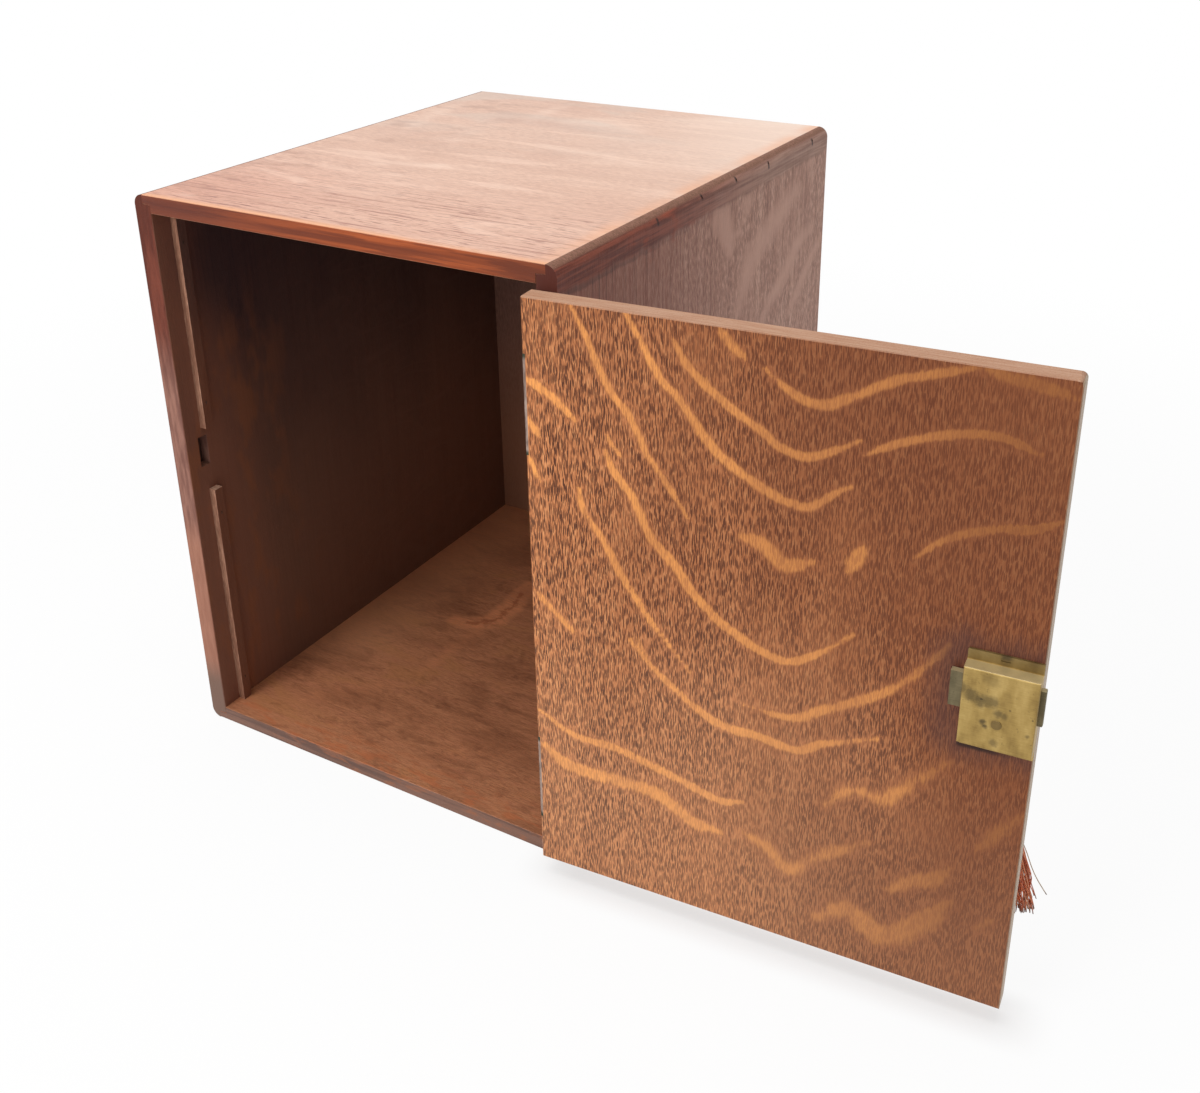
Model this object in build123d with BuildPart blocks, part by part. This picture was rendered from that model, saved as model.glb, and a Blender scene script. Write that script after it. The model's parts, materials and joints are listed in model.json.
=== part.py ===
from build123d import *
import os
from math import cos, pi, radians, sin, sqrt, tan

# A small oak cupboard box that stands on a table. One inset door fills the front, on two butt hinges
# at the right, and a brass cupboard lock on its inner face throws a bolt into the left side.
# The origin is the middle of the underside, the door opens towards -Y, and +Z is up.
# The door is modelled where it stands when it is swung right round, and each door piece is drawn
# on planes that turn with it.

# Case, in millimetres
case_width = 270.0
case_depth = 318.0
case_height = 340.0
side_thickness = 11.5
top_thickness = 10.0
bottom_thickness = 9.0
back_thickness = 5.0
arris_radius = 6.0
top_lap = 5.0
bottom_lap = 4.5
back_rebate = 4.0
panel_clearance = 0.2

# Door
door_thickness = 11.0
hinge_gap = 2.5
latch_gap = 3.2
door_top_gap = 1.5
door_bottom_gap = 1.8
door_open_angle = 184.66
worn_corner_radius = 2.5
eased_edge = 0.4

# Butt hinges
hinge_length = 51.0
hinge_end_distance = 27.3
leaf_thickness = 1.3
pin_forward = 1.7
knuckle_count = 5
knuckle_clearance = 0.2
running_clearance = 0.05
barrel_clearance = 0.25
screws_per_leaf = 3
pin_chamfer = 0.2
case_screw_length = 9.0
door_screw_length = 14.0

# Countersunk screws
screw_head_radius = 2.0
screw_shank_radius = 1.0
screw_slot_width = 0.5
screw_slot_depth = 0.5

# Cut brads, rectangular in section
brad_width = 0.8
brad_height = 1.9
brad_clearance = 0.02
joint_brad_length = 16.0
panel_brad_length = 12.0
strip_brad_length = 8.0
joint_brad_drop = 3.4
joint_brad_places = (23.0, 88.0, 131.0, 173.0)
strip_brad_end_distance = 16.0
panel_brad_inset = 2.2
panel_brad_spacing = 72.0
panel_brad_rise = 96.0

# Door stop strips
strip_width = 4.6
strip_depth = 6.0
strip_clearance = 0.8
strip_top_clearance = 3.5
strip_bevel = 2.0
stop_clearance = 0.3

# Lock
cap_width = 31.4
cap_height = 38.3
cap_rise = 6.8
cap_wall = 1.0
cap_arris = 0.6
plate_thickness = 1.2
flange_height = 5.0
flange_corner = 0.6
lock_above_middle = 8.9
lock_clearance = 0.3
lock_screw_length = 8.0

# Bolt and its spring
bolt_length = 39.3
bolt_height = 17.3
bolt_thickness = 3.0
bolt_above_centre = 4.9
bolt_proud = 2.2
bolt_throw = 6.0
bolt_slack = 0.15
bolt_arris = 0.3
strike_clearance = 0.8
strike_spare_depth = 1.2
strike_spare_front = 2.3
spring_gauge = 0.5
spring_length = 15.0
spring_foot = 4.0
spring_back = 4.0

# Key
key_below_centre = 5.8
key_swing = 60.0
shank_radius = 2.2
pin_radius = 1.25
bit_engagement = 2.0
bit_thickness = 1.8
bit_width = 3.4
key_outside = 20.0
collar_radius = 3.4
collar_width = 1.6
collar_clearance = 0.4
bow_half_height = 12.5
bow_half_length = 9.0
rim_radius = 1.5
tip_clearance = 0.4
pin_setback = 1.5
rivet_radius = 2.2
rivet_rise = 0.25

# Keyhole and the thread escutcheon let into the outer face
keyhole_clearance = 0.4
escutcheon_wall = 1.1
escutcheon_depth = 4.0

# Tassel
cord_diameter = 1.5
loop_clearance = 0.3
loop_drop = 58.0
head_radius = 4.8
head_top_radius = 3.6
head_height = 11.5
head_fullest_drop = 4.4
neck_radius = 3.5
binding_radius = 4.3
binding_height = 2.8
skirt_length = 53.0
skirt_top_radius = 4.1
skirt_waist_drop = 20.0
skirt_waist_radius = 8.5
skirt_radius = 13.0

# Places that follow from the sizes
half_width = case_width / 2
inner_half = half_width - side_thickness
lap_half = half_width - arris_radius
# Joint brads are punched in until their outer edges are level with the rounded arris
brad_edge_drop = joint_brad_drop - brad_height / 2
joint_brad_sink = arris_radius - sqrt(arris_radius**2 - max(0, arris_radius - brad_edge_drop)**2)
front = -case_depth / 2
back = case_depth / 2
ceiling = case_height - top_thickness
door_width = 2 * inner_half - hinge_gap - latch_gap
door_bottom = bottom_thickness + door_bottom_gap
door_top = ceiling - door_top_gap
door_height = door_top - door_bottom
door_middle = (door_bottom + door_top) / 2

knuckle_radius = hinge_gap / 2 + leaf_thickness
pin_bore_radius = hinge_gap / 2
knuckle_pitch = hinge_length / knuckle_count
hinge_screw_pitch = hinge_length / screws_per_leaf
hinge_centres = (
    door_bottom + hinge_end_distance + hinge_length / 2,
    door_top - hinge_end_distance - hinge_length / 2,
)
hinge_line = Vector(inner_half - hinge_gap / 2, front - pin_forward, 0)

lock_centre = door_middle + lock_above_middle
lock_along = door_width - cap_width / 2
plate_face = door_thickness + plate_thickness
cap_face = plate_face + cap_rise
cap_bottom = lock_centre - cap_height / 2
cap_top = lock_centre + cap_height / 2
bolt_centre = lock_centre + bolt_above_centre
bolt_back = plate_face + bolt_slack
bolt_end = door_width + bolt_proud
key_height = lock_centre - key_below_centre
screw_head_depth = screw_head_radius - screw_shank_radius

# The door's own frame: x runs from the hinge edge to the free edge, y is up, and z goes inwards
# from the outer face. The corner swings about the hinge pins from its closed place.
door_corner = hinge_line + Vector(-hinge_gap / 2, pin_forward, 0).rotate(Axis.Z, door_open_angle)
door_along = Vector(-1, 0, 0).rotate(Axis.Z, door_open_angle)
door_inward = Vector(0, 1, 0).rotate(Axis.Z, door_open_angle)
door_frame = Plane(origin=door_corner, x_dir=door_along, z_dir=door_inward)


def door_point(along, height, inward):
    """A point given in the door's own frame."""
    return door_frame.from_local_coords(Vector(along, height, inward))


os.makedirs("parts", exist_ok=True)


def keep(part, label):
    """Name a finished piece and write it."""
    part.label = label
    export_step(part, f"parts/{label}.step")


# Fastenings


def screws(heads, length):
    """Countersunk screws, one on each plane of heads, whose z axis points out of the head."""
    down = (Align.CENTER, Align.CENTER, Align.MAX)
    with BuildPart() as group:
        with Locations(*heads):
            Cylinder(screw_shank_radius, length, align=down)
            Cone(screw_shank_radius, screw_head_radius, screw_head_depth, align=down)
            Box(
                3 * screw_head_radius, screw_slot_width, screw_slot_depth,
                align=down, mode=Mode.SUBTRACT,
            )
    return group.part


def brads(heads, length):
    """Cut brads, one on each plane of heads, whose z axis points out of the wood."""
    with BuildPart() as group:
        with Locations(*heads):
            Box(brad_width, brad_height, length, align=(Align.CENTER, Align.CENTER, Align.MAX))
    return group.part


def brad_holes(heads, length):
    """Cut the holes of a row of brads from the part that is being built."""
    with Locations(*heads):
        Box(
            brad_width + 2 * brad_clearance, brad_height + 2 * brad_clearance,
            length + brad_clearance,
            align=(Align.CENTER, Align.CENTER, Align.MAX), mode=Mode.SUBTRACT,
        )


def screw_holes(heads, length):
    """Cut countersunk screw holes from the part that is being built."""
    with Locations(*heads):
        CounterSinkHole(
            screw_shank_radius + running_clearance, screw_head_radius + running_clearance,
            depth=length + running_clearance, counter_sink_angle=90,
        )


# Planes at the heads of the fastenings


def joint_brad_heads(side, sink=0.0):
    """Brads through one side's lips, near its upper and lower edges, sunk below its outer face."""
    return [
        Plane(
            origin=(side * (half_width - sink), back - place, height),
            x_dir=(0, 1, 0), z_dir=(side, 0, 0),
        )
        for place in joint_brad_places
        for height in (joint_brad_drop, case_height - joint_brad_drop)
    ]


def panel_brad_heads():
    """Brads round the edge of the back panel."""
    half = inner_half + back_rebate - panel_brad_inset
    low = bottom_thickness - back_rebate + panel_brad_inset
    high = ceiling + back_rebate - panel_brad_inset
    middle = (low + high) / 2
    places = []
    for step in (-1, 0, 1):
        places += [(step * panel_brad_spacing, z) for z in (low, high)]
        places += [(x, middle + step * panel_brad_rise) for x in (-half, half)]
    return [Plane(origin=(x, back, z), x_dir=(1, 0, 0), z_dir=(0, 1, 0)) for x, z in places]


strip_front = front + plate_face + stop_clearance
strip_face = inner_half - strip_width
strip_middle = strip_front + strip_depth / 2
lower_strip_top = cap_bottom - strip_clearance
upper_strip_bottom = cap_top + strip_clearance
upper_strip_top = ceiling - strip_top_clearance


def strip_brad_heads():
    """Two brads in each stop strip, driven into the left side."""
    heights = []
    for low, high in ((bottom_thickness, lower_strip_top), (upper_strip_bottom, upper_strip_top)):
        heights += [low + strip_brad_end_distance, high - strip_brad_end_distance]
    return [
        Plane(origin=(-strip_face, strip_middle, z), x_dir=(0, 1, 0), z_dir=(1, 0, 0))
        for z in heights
    ]


def case_screw_heads(centre):
    """The screws in one hinge's case leaf."""
    middle = front + leaf_screw_line
    return [
        Plane(origin=(inner_half, middle, centre + step * hinge_screw_pitch), z_dir=(-1, 0, 0))
        for step in leaf_screw_steps
    ]


def door_screw_heads(centre):
    """The screws in one hinge's door leaf."""
    return [
        Plane(
            origin=door_point(0, centre + step * hinge_screw_pitch, leaf_screw_line),
            z_dir=-door_along,
        )
        for step in leaf_screw_steps
    ]


leaf_screw_line = (door_thickness + knuckle_radius - pin_forward) / 2
leaf_screw_steps = [step - (screws_per_leaf - 1) / 2 for step in range(screws_per_leaf)]
lock_screw_heads = [
    Plane(origin=door_point(lock_along, height, plate_face), z_dir=door_inward)
    for height in (cap_bottom - flange_height / 2, cap_top + flange_height / 2)
]


# Case boards


def side_board(side):
    """One full-height side, stepped for the laps and rounded along its outer long edges.

    side is -1 at the left and 1 at the right.
    """
    rounding = arris_radius * sin(radians(45))
    with BuildPart() as board:
        with BuildSketch(Plane.XZ.offset(case_depth / 2)):
            with BuildLine():
                Polyline(
                    (side * lap_half, 0),
                    (side * lap_half, bottom_lap),
                    (side * inner_half, bottom_lap),
                    (side * inner_half, case_height - top_lap),
                    (side * lap_half, case_height - top_lap),
                    (side * lap_half, case_height),
                )
                ThreePointArc(
                    (side * lap_half, case_height),
                    (side * (lap_half + rounding), case_height - arris_radius + rounding),
                    (side * half_width, case_height - arris_radius),
                )
                Line((side * half_width, case_height - arris_radius), (side * half_width, arris_radius))
                ThreePointArc(
                    (side * half_width, arris_radius),
                    (side * (lap_half + rounding), arris_radius - rounding),
                    (side * lap_half, 0),
                )
            make_face()
        extrude(amount=-case_depth)
        # The rebate for the back panel
        with BuildSketch(Plane.XZ.offset(-case_depth / 2)):
            with Locations((side * inner_half, (bottom_thickness + ceiling) / 2)):
                Rectangle(2 * back_rebate, ceiling - bottom_thickness + 2 * back_rebate)
        extrude(amount=back_thickness, mode=Mode.SUBTRACT)
        brad_holes(joint_brad_heads(side), joint_brad_sink + joint_brad_length)
        brad_holes(panel_brad_heads(), panel_brad_length)
    return board.part


left_board = side_board(-1)
with BuildPart() as left_side:
    add(left_board)
    # The strike mortise that the bolt enters when the door is shut, cut wide in front of it
    with BuildSketch(Plane.YZ.offset(-inner_half)):
        with Locations((front + bolt_back - strike_clearance - strike_spare_front, bolt_centre)):
            Rectangle(
                strike_spare_front + bolt_thickness + 2 * strike_clearance,
                bolt_height + 2 * strike_clearance,
                align=(Align.MIN, Align.CENTER),
            )
    extrude(amount=-(bolt_proud + bolt_throw - latch_gap + strike_spare_depth), mode=Mode.SUBTRACT)
    brad_holes(strip_brad_heads(), strip_brad_length)
keep(left_side.part, "left_side")

right_board = side_board(1)
with BuildPart() as right_side:
    add(right_board)
    for centre in hinge_centres:
        with BuildSketch(Plane.YZ.offset(inner_half)):
            with Locations((front + door_thickness / 2, centre)):
                Rectangle(door_thickness, hinge_length)
        extrude(amount=leaf_thickness, mode=Mode.SUBTRACT)
        screw_holes(case_screw_heads(centre), case_screw_length)
keep(right_side.part, "right_side")


def lapped_board(lap, thickness, outward):
    """A board across the case whose outer part, lap thick, reaches over the steps of both sides.

    outward is 1 for the top and -1 for the bottom.
    """
    outer_z = case_height if outward > 0 else 0
    step_z = outer_z - outward * lap
    inner_z = outer_z - outward * thickness
    with BuildPart() as board:
        with BuildSketch(Plane.XZ.offset(case_depth / 2)):
            with BuildLine():
                Polyline(
                    (-lap_half, outer_z),
                    (-lap_half, step_z),
                    (-inner_half, step_z),
                    (-inner_half, inner_z),
                    (inner_half, inner_z),
                    (inner_half, step_z),
                    (lap_half, step_z),
                    (lap_half, outer_z),
                    close=True,
                )
            make_face()
        extrude(amount=-case_depth)
        # The rebate for the back panel
        with BuildSketch(Plane.XZ.offset(-case_depth / 2)):
            with Locations((0, inner_z)):
                Rectangle(2 * (inner_half + back_rebate), 2 * back_rebate)
        extrude(amount=back_thickness, mode=Mode.SUBTRACT)
        for side in (-1, 1):
            brad_holes(joint_brad_heads(side), joint_brad_sink + joint_brad_length)
        brad_holes(panel_brad_heads(), panel_brad_length)
    return board.part


keep(lapped_board(top_lap, top_thickness, 1), "top_board")
keep(lapped_board(bottom_lap, bottom_thickness, -1), "bottom_board")

with BuildPart() as back_panel:
    with BuildSketch(Plane.XZ.offset(-case_depth / 2)):
        with Locations((0, (bottom_thickness + ceiling) / 2)):
            Rectangle(
                2 * (inner_half + back_rebate - panel_clearance),
                ceiling - bottom_thickness + 2 * (back_rebate - panel_clearance),
            )
    extrude(amount=back_thickness)
    brad_holes(panel_brad_heads(), panel_brad_length)
keep(back_panel.part, "back_panel")
keep(brads(panel_brad_heads(), panel_brad_length), "back_panel_pins")
keep(
    brads(joint_brad_heads(-1, joint_brad_sink) + joint_brad_heads(1, joint_brad_sink), joint_brad_length),
    "joint_pins",
)


# Door stop strips on the left wall, one above the lock and one below


def stop_strip(low, high, bevel):
    """A strip between two heights, its top end cut back across the inner face by bevel."""
    with BuildPart() as strip:
        with BuildSketch(Plane.XZ.offset(-strip_front)):
            with BuildLine():
                Polyline(
                    (-inner_half, low),
                    (-strip_face, low),
                    (-strip_face, high - bevel),
                    (-inner_half, high),
                    close=True,
                )
            make_face()
        extrude(amount=-strip_depth)
        brad_holes(strip_brad_heads(), strip_brad_length)
    return strip.part


keep(stop_strip(bottom_thickness, lower_strip_top, 0), "lower_stop_strip")
keep(stop_strip(upper_strip_bottom, upper_strip_top, strip_bevel), "upper_stop_strip")
keep(brads(strip_brad_heads(), strip_brad_length), "stop_strip_pins")


# Butt hinges


def hinge_leaf(middle, own_knuckles, other_knuckles, heads, screw_length):
    """One leaf, with its rolled knuckles.

    middle is the plane square to the pin at half the hinge's height, x into the wood and y out
    past the face. The knuckles are given by their steps from the middle.
    """
    pin_place = (-hinge_gap / 2, pin_forward)
    with BuildPart() as leaf:
        with BuildSketch(middle):
            with Locations((leaf_thickness / 2, (pin_forward - door_thickness) / 2)):
                Rectangle(leaf_thickness, pin_forward + door_thickness)
        extrude(amount=hinge_length / 2, both=True)
        with BuildSketch(*[middle.offset(step * knuckle_pitch) for step in other_knuckles]):
            with Locations(pin_place):
                Circle(knuckle_radius + barrel_clearance)
        extrude(amount=knuckle_pitch / 2, both=True, mode=Mode.SUBTRACT)
        with BuildSketch(*[middle.offset(step * knuckle_pitch) for step in own_knuckles]):
            with Locations(pin_place):
                Circle(knuckle_radius)
        extrude(amount=(knuckle_pitch - knuckle_clearance) / 2, both=True)
        with BuildSketch(middle):
            with Locations(pin_place):
                Circle(pin_bore_radius)
        extrude(amount=hinge_length, both=True, mode=Mode.SUBTRACT)
        screw_holes(heads, screw_length)
    return leaf.part


case_knuckles = range(-(knuckle_count // 2), knuckle_count // 2 + 1, 2)
door_knuckles = range(1 - knuckle_count // 2, knuckle_count // 2, 2)
case_screw_places = []
door_screw_places = []
for name, centre in zip(("lower", "upper"), hinge_centres):
    case_middle = Plane(origin=(inner_half, front, centre), x_dir=(1, 0, 0), z_dir=(0, 0, -1))
    door_middle_plane = Plane(origin=door_point(0, centre, 0), x_dir=door_along, z_dir=(0, 0, 1))
    case_screw_places += case_screw_heads(centre)
    door_screw_places += door_screw_heads(centre)
    case_leaf = hinge_leaf(
        case_middle, case_knuckles, door_knuckles, case_screw_heads(centre), case_screw_length
    )
    door_leaf = hinge_leaf(
        door_middle_plane, door_knuckles, case_knuckles, door_screw_heads(centre), door_screw_length
    )
    keep(case_leaf, f"{name}_hinge_case_leaf")
    keep(door_leaf, f"{name}_hinge_door_leaf")
    with BuildPart() as hinge_pin:
        with BuildSketch(Plane(origin=hinge_line + Vector(0, 0, centre))):
            Circle(pin_bore_radius - running_clearance)
        extrude(amount=hinge_length / 2 + knuckle_clearance, both=True)
        chamfer(hinge_pin.edges().filter_by(GeomType.CIRCLE), pin_chamfer)
    keep(hinge_pin.part, f"{name}_hinge_pin")
keep(screws(case_screw_places, case_screw_length), "case_hinge_screws")
keep(screws(door_screw_places, door_screw_length), "door_hinge_screws")


# Door panel


talon_radius = bolt_throw / 2 / sin(radians(key_swing / 2))
bit_reach = talon_radius + bit_engagement


def keyhole(grow):
    """Draw the keyhole's outline, larger all round by grow: a round with a slot below it."""
    slot_half = bit_thickness / 2 + keyhole_clearance + grow
    with Locations((lock_along, key_height)):
        Circle(shank_radius + keyhole_clearance + grow)
    with Locations((lock_along, key_height - bit_reach / 2)):
        Rectangle(2 * slot_half, bit_reach)
    with Locations((lock_along, key_height - bit_reach)):
        Circle(slot_half)


with BuildPart() as door_panel:
    with BuildSketch(door_frame):
        with Locations((door_width / 2, door_middle)):
            Rectangle(door_width, door_height)
        worn_corner = vertices().group_by(Axis.X)[-1].sort_by(Axis.Y)[-1]
        fillet(worn_corner, worn_corner_radius)
    extrude(amount=door_thickness)
    flat_faces = door_panel.faces().filter_by(door_frame).edges()
    chamfer(flat_faces, eased_edge)
    for centre in hinge_centres:
        with BuildSketch(door_frame):
            with Locations((0, centre)):
                Rectangle(2 * leaf_thickness, hinge_length)
        extrude(amount=door_thickness, mode=Mode.SUBTRACT)
        screw_holes(door_screw_heads(centre), door_screw_length)
    with BuildSketch(door_frame):
        keyhole(0)
    extrude(amount=door_thickness, mode=Mode.SUBTRACT)
    with BuildSketch(door_frame):
        keyhole(escutcheon_wall)
    extrude(amount=escutcheon_depth, mode=Mode.SUBTRACT)
    screw_holes(lock_screw_heads, lock_screw_length)
keep(door_panel.part, "door_panel")

with BuildPart() as keyhole_escutcheon:
    with BuildSketch(door_frame):
        keyhole(escutcheon_wall)
    extrude(amount=escutcheon_depth)
    with BuildSketch(door_frame):
        keyhole(0)
    extrude(amount=escutcheon_depth, mode=Mode.SUBTRACT)
keep(keyhole_escutcheon.part, "keyhole_escutcheon")


# Lock plate and cap


with BuildPart() as lock_back_plate:
    with BuildSketch(door_frame.offset(door_thickness)):
        with Locations((lock_along, lock_centre)):
            Rectangle(cap_width, cap_height + 2 * flange_height)
        fillet(vertices(), flange_corner)
    extrude(amount=plate_thickness)
    with BuildSketch(door_frame.offset(door_thickness)):
        keyhole(0)
    extrude(amount=plate_thickness, mode=Mode.SUBTRACT)
    screw_holes(lock_screw_heads, lock_screw_length)
keep(lock_back_plate.part, "lock_back_plate")
keep(screws(lock_screw_heads, lock_screw_length), "lock_screws")

with BuildPart() as lock_cap:
    with BuildSketch(door_frame.offset(plate_face)):
        with Locations((lock_along, lock_centre)):
            Rectangle(cap_width, cap_height)
    extrude(amount=cap_rise)
    outer_face = lock_cap.faces().sort_by(Axis(door_corner, door_inward))[-1]
    fillet(outer_face.edges(), cap_arris)
    with BuildSketch(door_frame.offset(plate_face)):
        with Locations((lock_along, lock_centre)):
            Rectangle(cap_width - 2 * cap_wall, cap_height - 2 * cap_wall)
    extrude(amount=cap_rise - cap_wall, mode=Mode.SUBTRACT)
    # Slots in both side walls, which the bolt slides through
    with BuildSketch(door_frame.offset(plate_face)):
        with Locations((lock_along, bolt_centre)):
            Rectangle(2 * cap_width, bolt_height + 2 * bolt_slack)
    extrude(amount=bolt_thickness + 2 * bolt_slack, mode=Mode.SUBTRACT)
    with BuildSketch(door_frame.offset(plate_face)):
        with Locations((lock_along, key_height)):
            Circle(pin_radius + running_clearance)
    extrude(amount=cap_rise, mode=Mode.SUBTRACT)
keep(lock_cap.part, "lock_cap")

with BuildPart() as lock_drill_pin:
    with BuildSketch(door_frame.offset(pin_setback)):
        with Locations((lock_along, key_height)):
            Circle(pin_radius)
    extrude(amount=cap_face - pin_setback)
    with BuildSketch(door_frame.offset(cap_face)):
        with Locations((lock_along, key_height)):
            Circle(rivet_radius)
    extrude(amount=rivet_rise)
keep(lock_drill_pin.part, "lock_drill_pin")


# Bolt, its talon and its back spring


def talon():
    """Draw the notch that the key's bit pushes, with a shallow relief that clears the shank."""
    half_swing = radians(key_swing / 2)
    half_bit = bit_thickness / 2 / cos(half_swing)
    relief_top = key_height + shank_radius + lock_clearance
    relief_half = bolt_throw / 2 + shank_radius + lock_clearance
    notch_top = key_height + bit_reach + lock_clearance
    mouth_half = bolt_throw / 2 - shank_radius * tan(half_swing) + half_bit + lock_clearance
    tip_half = bit_reach * sin(half_swing) - bolt_throw / 2 + half_bit + lock_clearance
    below = bolt_centre - bolt_height
    middle = lock_along - bolt_throw / 2
    Polygon(
        (middle - relief_half, below),
        (middle - relief_half, relief_top),
        (middle - mouth_half, relief_top),
        (middle - tip_half, notch_top),
        (middle + tip_half, notch_top),
        (middle + mouth_half, relief_top),
        (middle + relief_half, relief_top),
        (middle + relief_half, below),
        align=None, mode=Mode.SUBTRACT,
    )


with BuildPart() as lock_bolt:
    with BuildSketch(door_frame.offset(bolt_back)):
        with Locations((bolt_end - bolt_length / 2, bolt_centre)):
            Rectangle(bolt_length, bolt_height)
        talon()
    extrude(amount=bolt_thickness)
    free_end = lock_bolt.faces().sort_by(Axis(door_corner, door_along))[-1]
    chamfer(free_end.edges(), bolt_arris)
keep(lock_bolt.part, "lock_bolt")

bolt_top = bolt_centre + bolt_height / 2
spring_start = lock_along - bolt_throw / 2 - spring_back
spring_crest = cap_top - cap_wall - lock_clearance - spring_gauge / 2
spring_rest = bolt_top + spring_gauge / 2
with BuildPart() as bolt_back_spring:
    with BuildSketch(door_frame.offset(bolt_back)):
        with BuildLine() as spring_line:
            Line((spring_start - spring_foot, spring_rest), (spring_start, spring_rest))
            ThreePointArc(
                (spring_start, spring_rest),
                (spring_start + (spring_length - spring_foot) / 2, spring_crest),
                (spring_start + spring_length - spring_foot, spring_rest),
            )
        trace(line_width=spring_gauge)
    extrude(amount=bolt_thickness)
keep(bolt_back_spring.part, "bolt_back_spring")


# Key, held in the lock at the start of its turn, with its bit in the talon


bit_lean = 90 + key_swing / 2
bit_direction = door_along * cos(radians(bit_lean)) + Vector(0, 0, 1) * sin(radians(bit_lean))
key_frame = Plane(
    origin=door_point(lock_along, key_height, 0), x_dir=bit_direction, z_dir=door_inward
)
key_tip = cap_face - cap_wall - tip_clearance
bow_centre = -key_outside - bow_half_length + rim_radius
# The shank is let into the bow's rim by two thirds of the rim's radius
shank_end = -key_outside + 2 * rim_radius / 3
with BuildPart() as key:
    with BuildSketch(key_frame.offset(shank_end)):
        Circle(shank_radius)
    extrude(amount=key_tip - shank_end)
    with BuildSketch(key_frame.offset(-collar_clearance - collar_width)):
        Circle(collar_radius)
    extrude(amount=collar_width)
    with BuildSketch(key_frame.offset(bolt_back)):
        with Locations((bit_reach / 2, 0)):
            Rectangle(bit_reach, bit_thickness)
    extrude(amount=bit_width)
    bow_plane = Plane(
        origin=key_frame.from_local_coords((0, 0, bow_centre)),
        x_dir=door_inward, z_dir=bit_direction.cross(door_inward),
    )
    straight = bow_half_height - bow_half_length
    with BuildLine(bow_plane) as bow:
        near_side = Line((bow_half_length, -straight), (bow_half_length, straight))
        ThreePointArc((bow_half_length, straight), (0, bow_half_height), (-bow_half_length, straight))
        Line((-bow_half_length, straight), (-bow_half_length, -straight))
        ThreePointArc((-bow_half_length, -straight), (0, -bow_half_height), (bow_half_length, -straight))
    with BuildSketch(Plane(origin=near_side @ 0, z_dir=near_side % 0)):
        Circle(rim_radius)
    sweep(path=bow.wires()[0])
    with BuildSketch(key_frame.offset(pin_setback - tip_clearance)):
        Circle(pin_radius + running_clearance)
    extrude(amount=key_tip, mode=Mode.SUBTRACT)
keep(key.part, "key")


# Tassel, hanging from the lowest point of the bow's rim


hang_point = key_frame.from_local_coords((-bow_half_height, 0, bow_centre))
hanging = Plane(origin=hang_point, x_dir=door_along, z_dir=(0, 0, 1))
loop_radius = rim_radius + loop_clearance + cord_diameter / 2
head_top = -loop_drop
head_bottom = head_top - head_height
skirt_top = head_bottom - binding_height
skirt_bottom = skirt_top - skirt_length

with BuildPart() as tassel_loop:
    with BuildLine(Plane(origin=hang_point, x_dir=door_along, z_dir=door_inward)) as loop_path:
        Line((-loop_radius, head_top), (-loop_radius, 0))
        ThreePointArc((-loop_radius, 0), (0, loop_radius), (loop_radius, 0))
        Line((loop_radius, 0), (loop_radius, head_top))
    with BuildSketch(hanging.offset(head_top)):
        with Locations((-loop_radius, 0)):
            Circle(cord_diameter / 2)
    sweep(path=loop_path.wires()[0])
keep(tassel_loop.part, "tassel_loop")


def turned(name, profile_lines):
    """A round piece of the tassel, turned about the line through the hanging point."""
    with BuildPart() as piece:
        with BuildSketch(Plane(origin=hang_point, x_dir=door_along, z_dir=door_inward)):
            with BuildLine():
                profile_lines()
            make_face()
        revolve(axis=Axis(hang_point, (0, 0, 1)))
    keep(piece.part, name)


def head_profile():
    """The covered bead: flat where the cord enters, full in the middle and drawn in at the neck."""
    Polyline((0, head_bottom), (0, head_top), (head_top_radius, head_top))
    Spline(
        (head_top_radius, head_top),
        (head_radius, head_top - head_fullest_drop),
        (neck_radius, head_bottom),
    )
    Line((neck_radius, head_bottom), (0, head_bottom))


def binding_profile():
    """The thread wound round the neck."""
    middle = head_bottom - binding_height / 2
    Polyline((neck_radius, skirt_top), (0, skirt_top), (0, head_bottom), (neck_radius, head_bottom))
    ThreePointArc((neck_radius, head_bottom), (binding_radius, middle), (neck_radius, skirt_top))


def skirt_profile():
    """The hanging threads, spreading towards their frayed ends."""
    Polyline((skirt_radius, skirt_bottom), (0, skirt_bottom), (0, skirt_top), (skirt_top_radius, skirt_top))
    Spline(
        (skirt_top_radius, skirt_top),
        (skirt_waist_radius, skirt_top - skirt_waist_drop),
        (skirt_radius, skirt_bottom),
    )


turned("tassel_head", head_profile)
turned("tassel_binding", binding_profile)
turned("tassel_skirt", skirt_profile)

loop_length = 2 * loop_drop + pi * loop_radius
loop_volume = pi * (cord_diameter / 2) ** 2 * loop_length
print(f"Tassel loop: {loop_length:.1f} mm long, its one bend of radius {loop_radius:.2f} mm")
print(f"Tassel loop: volume over section times length {tassel_loop.part.volume / loop_volume:.4f}")
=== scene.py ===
import json
import math

import bmesh
import bpy
import numpy as np
from mathutils import Matrix, Vector

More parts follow.
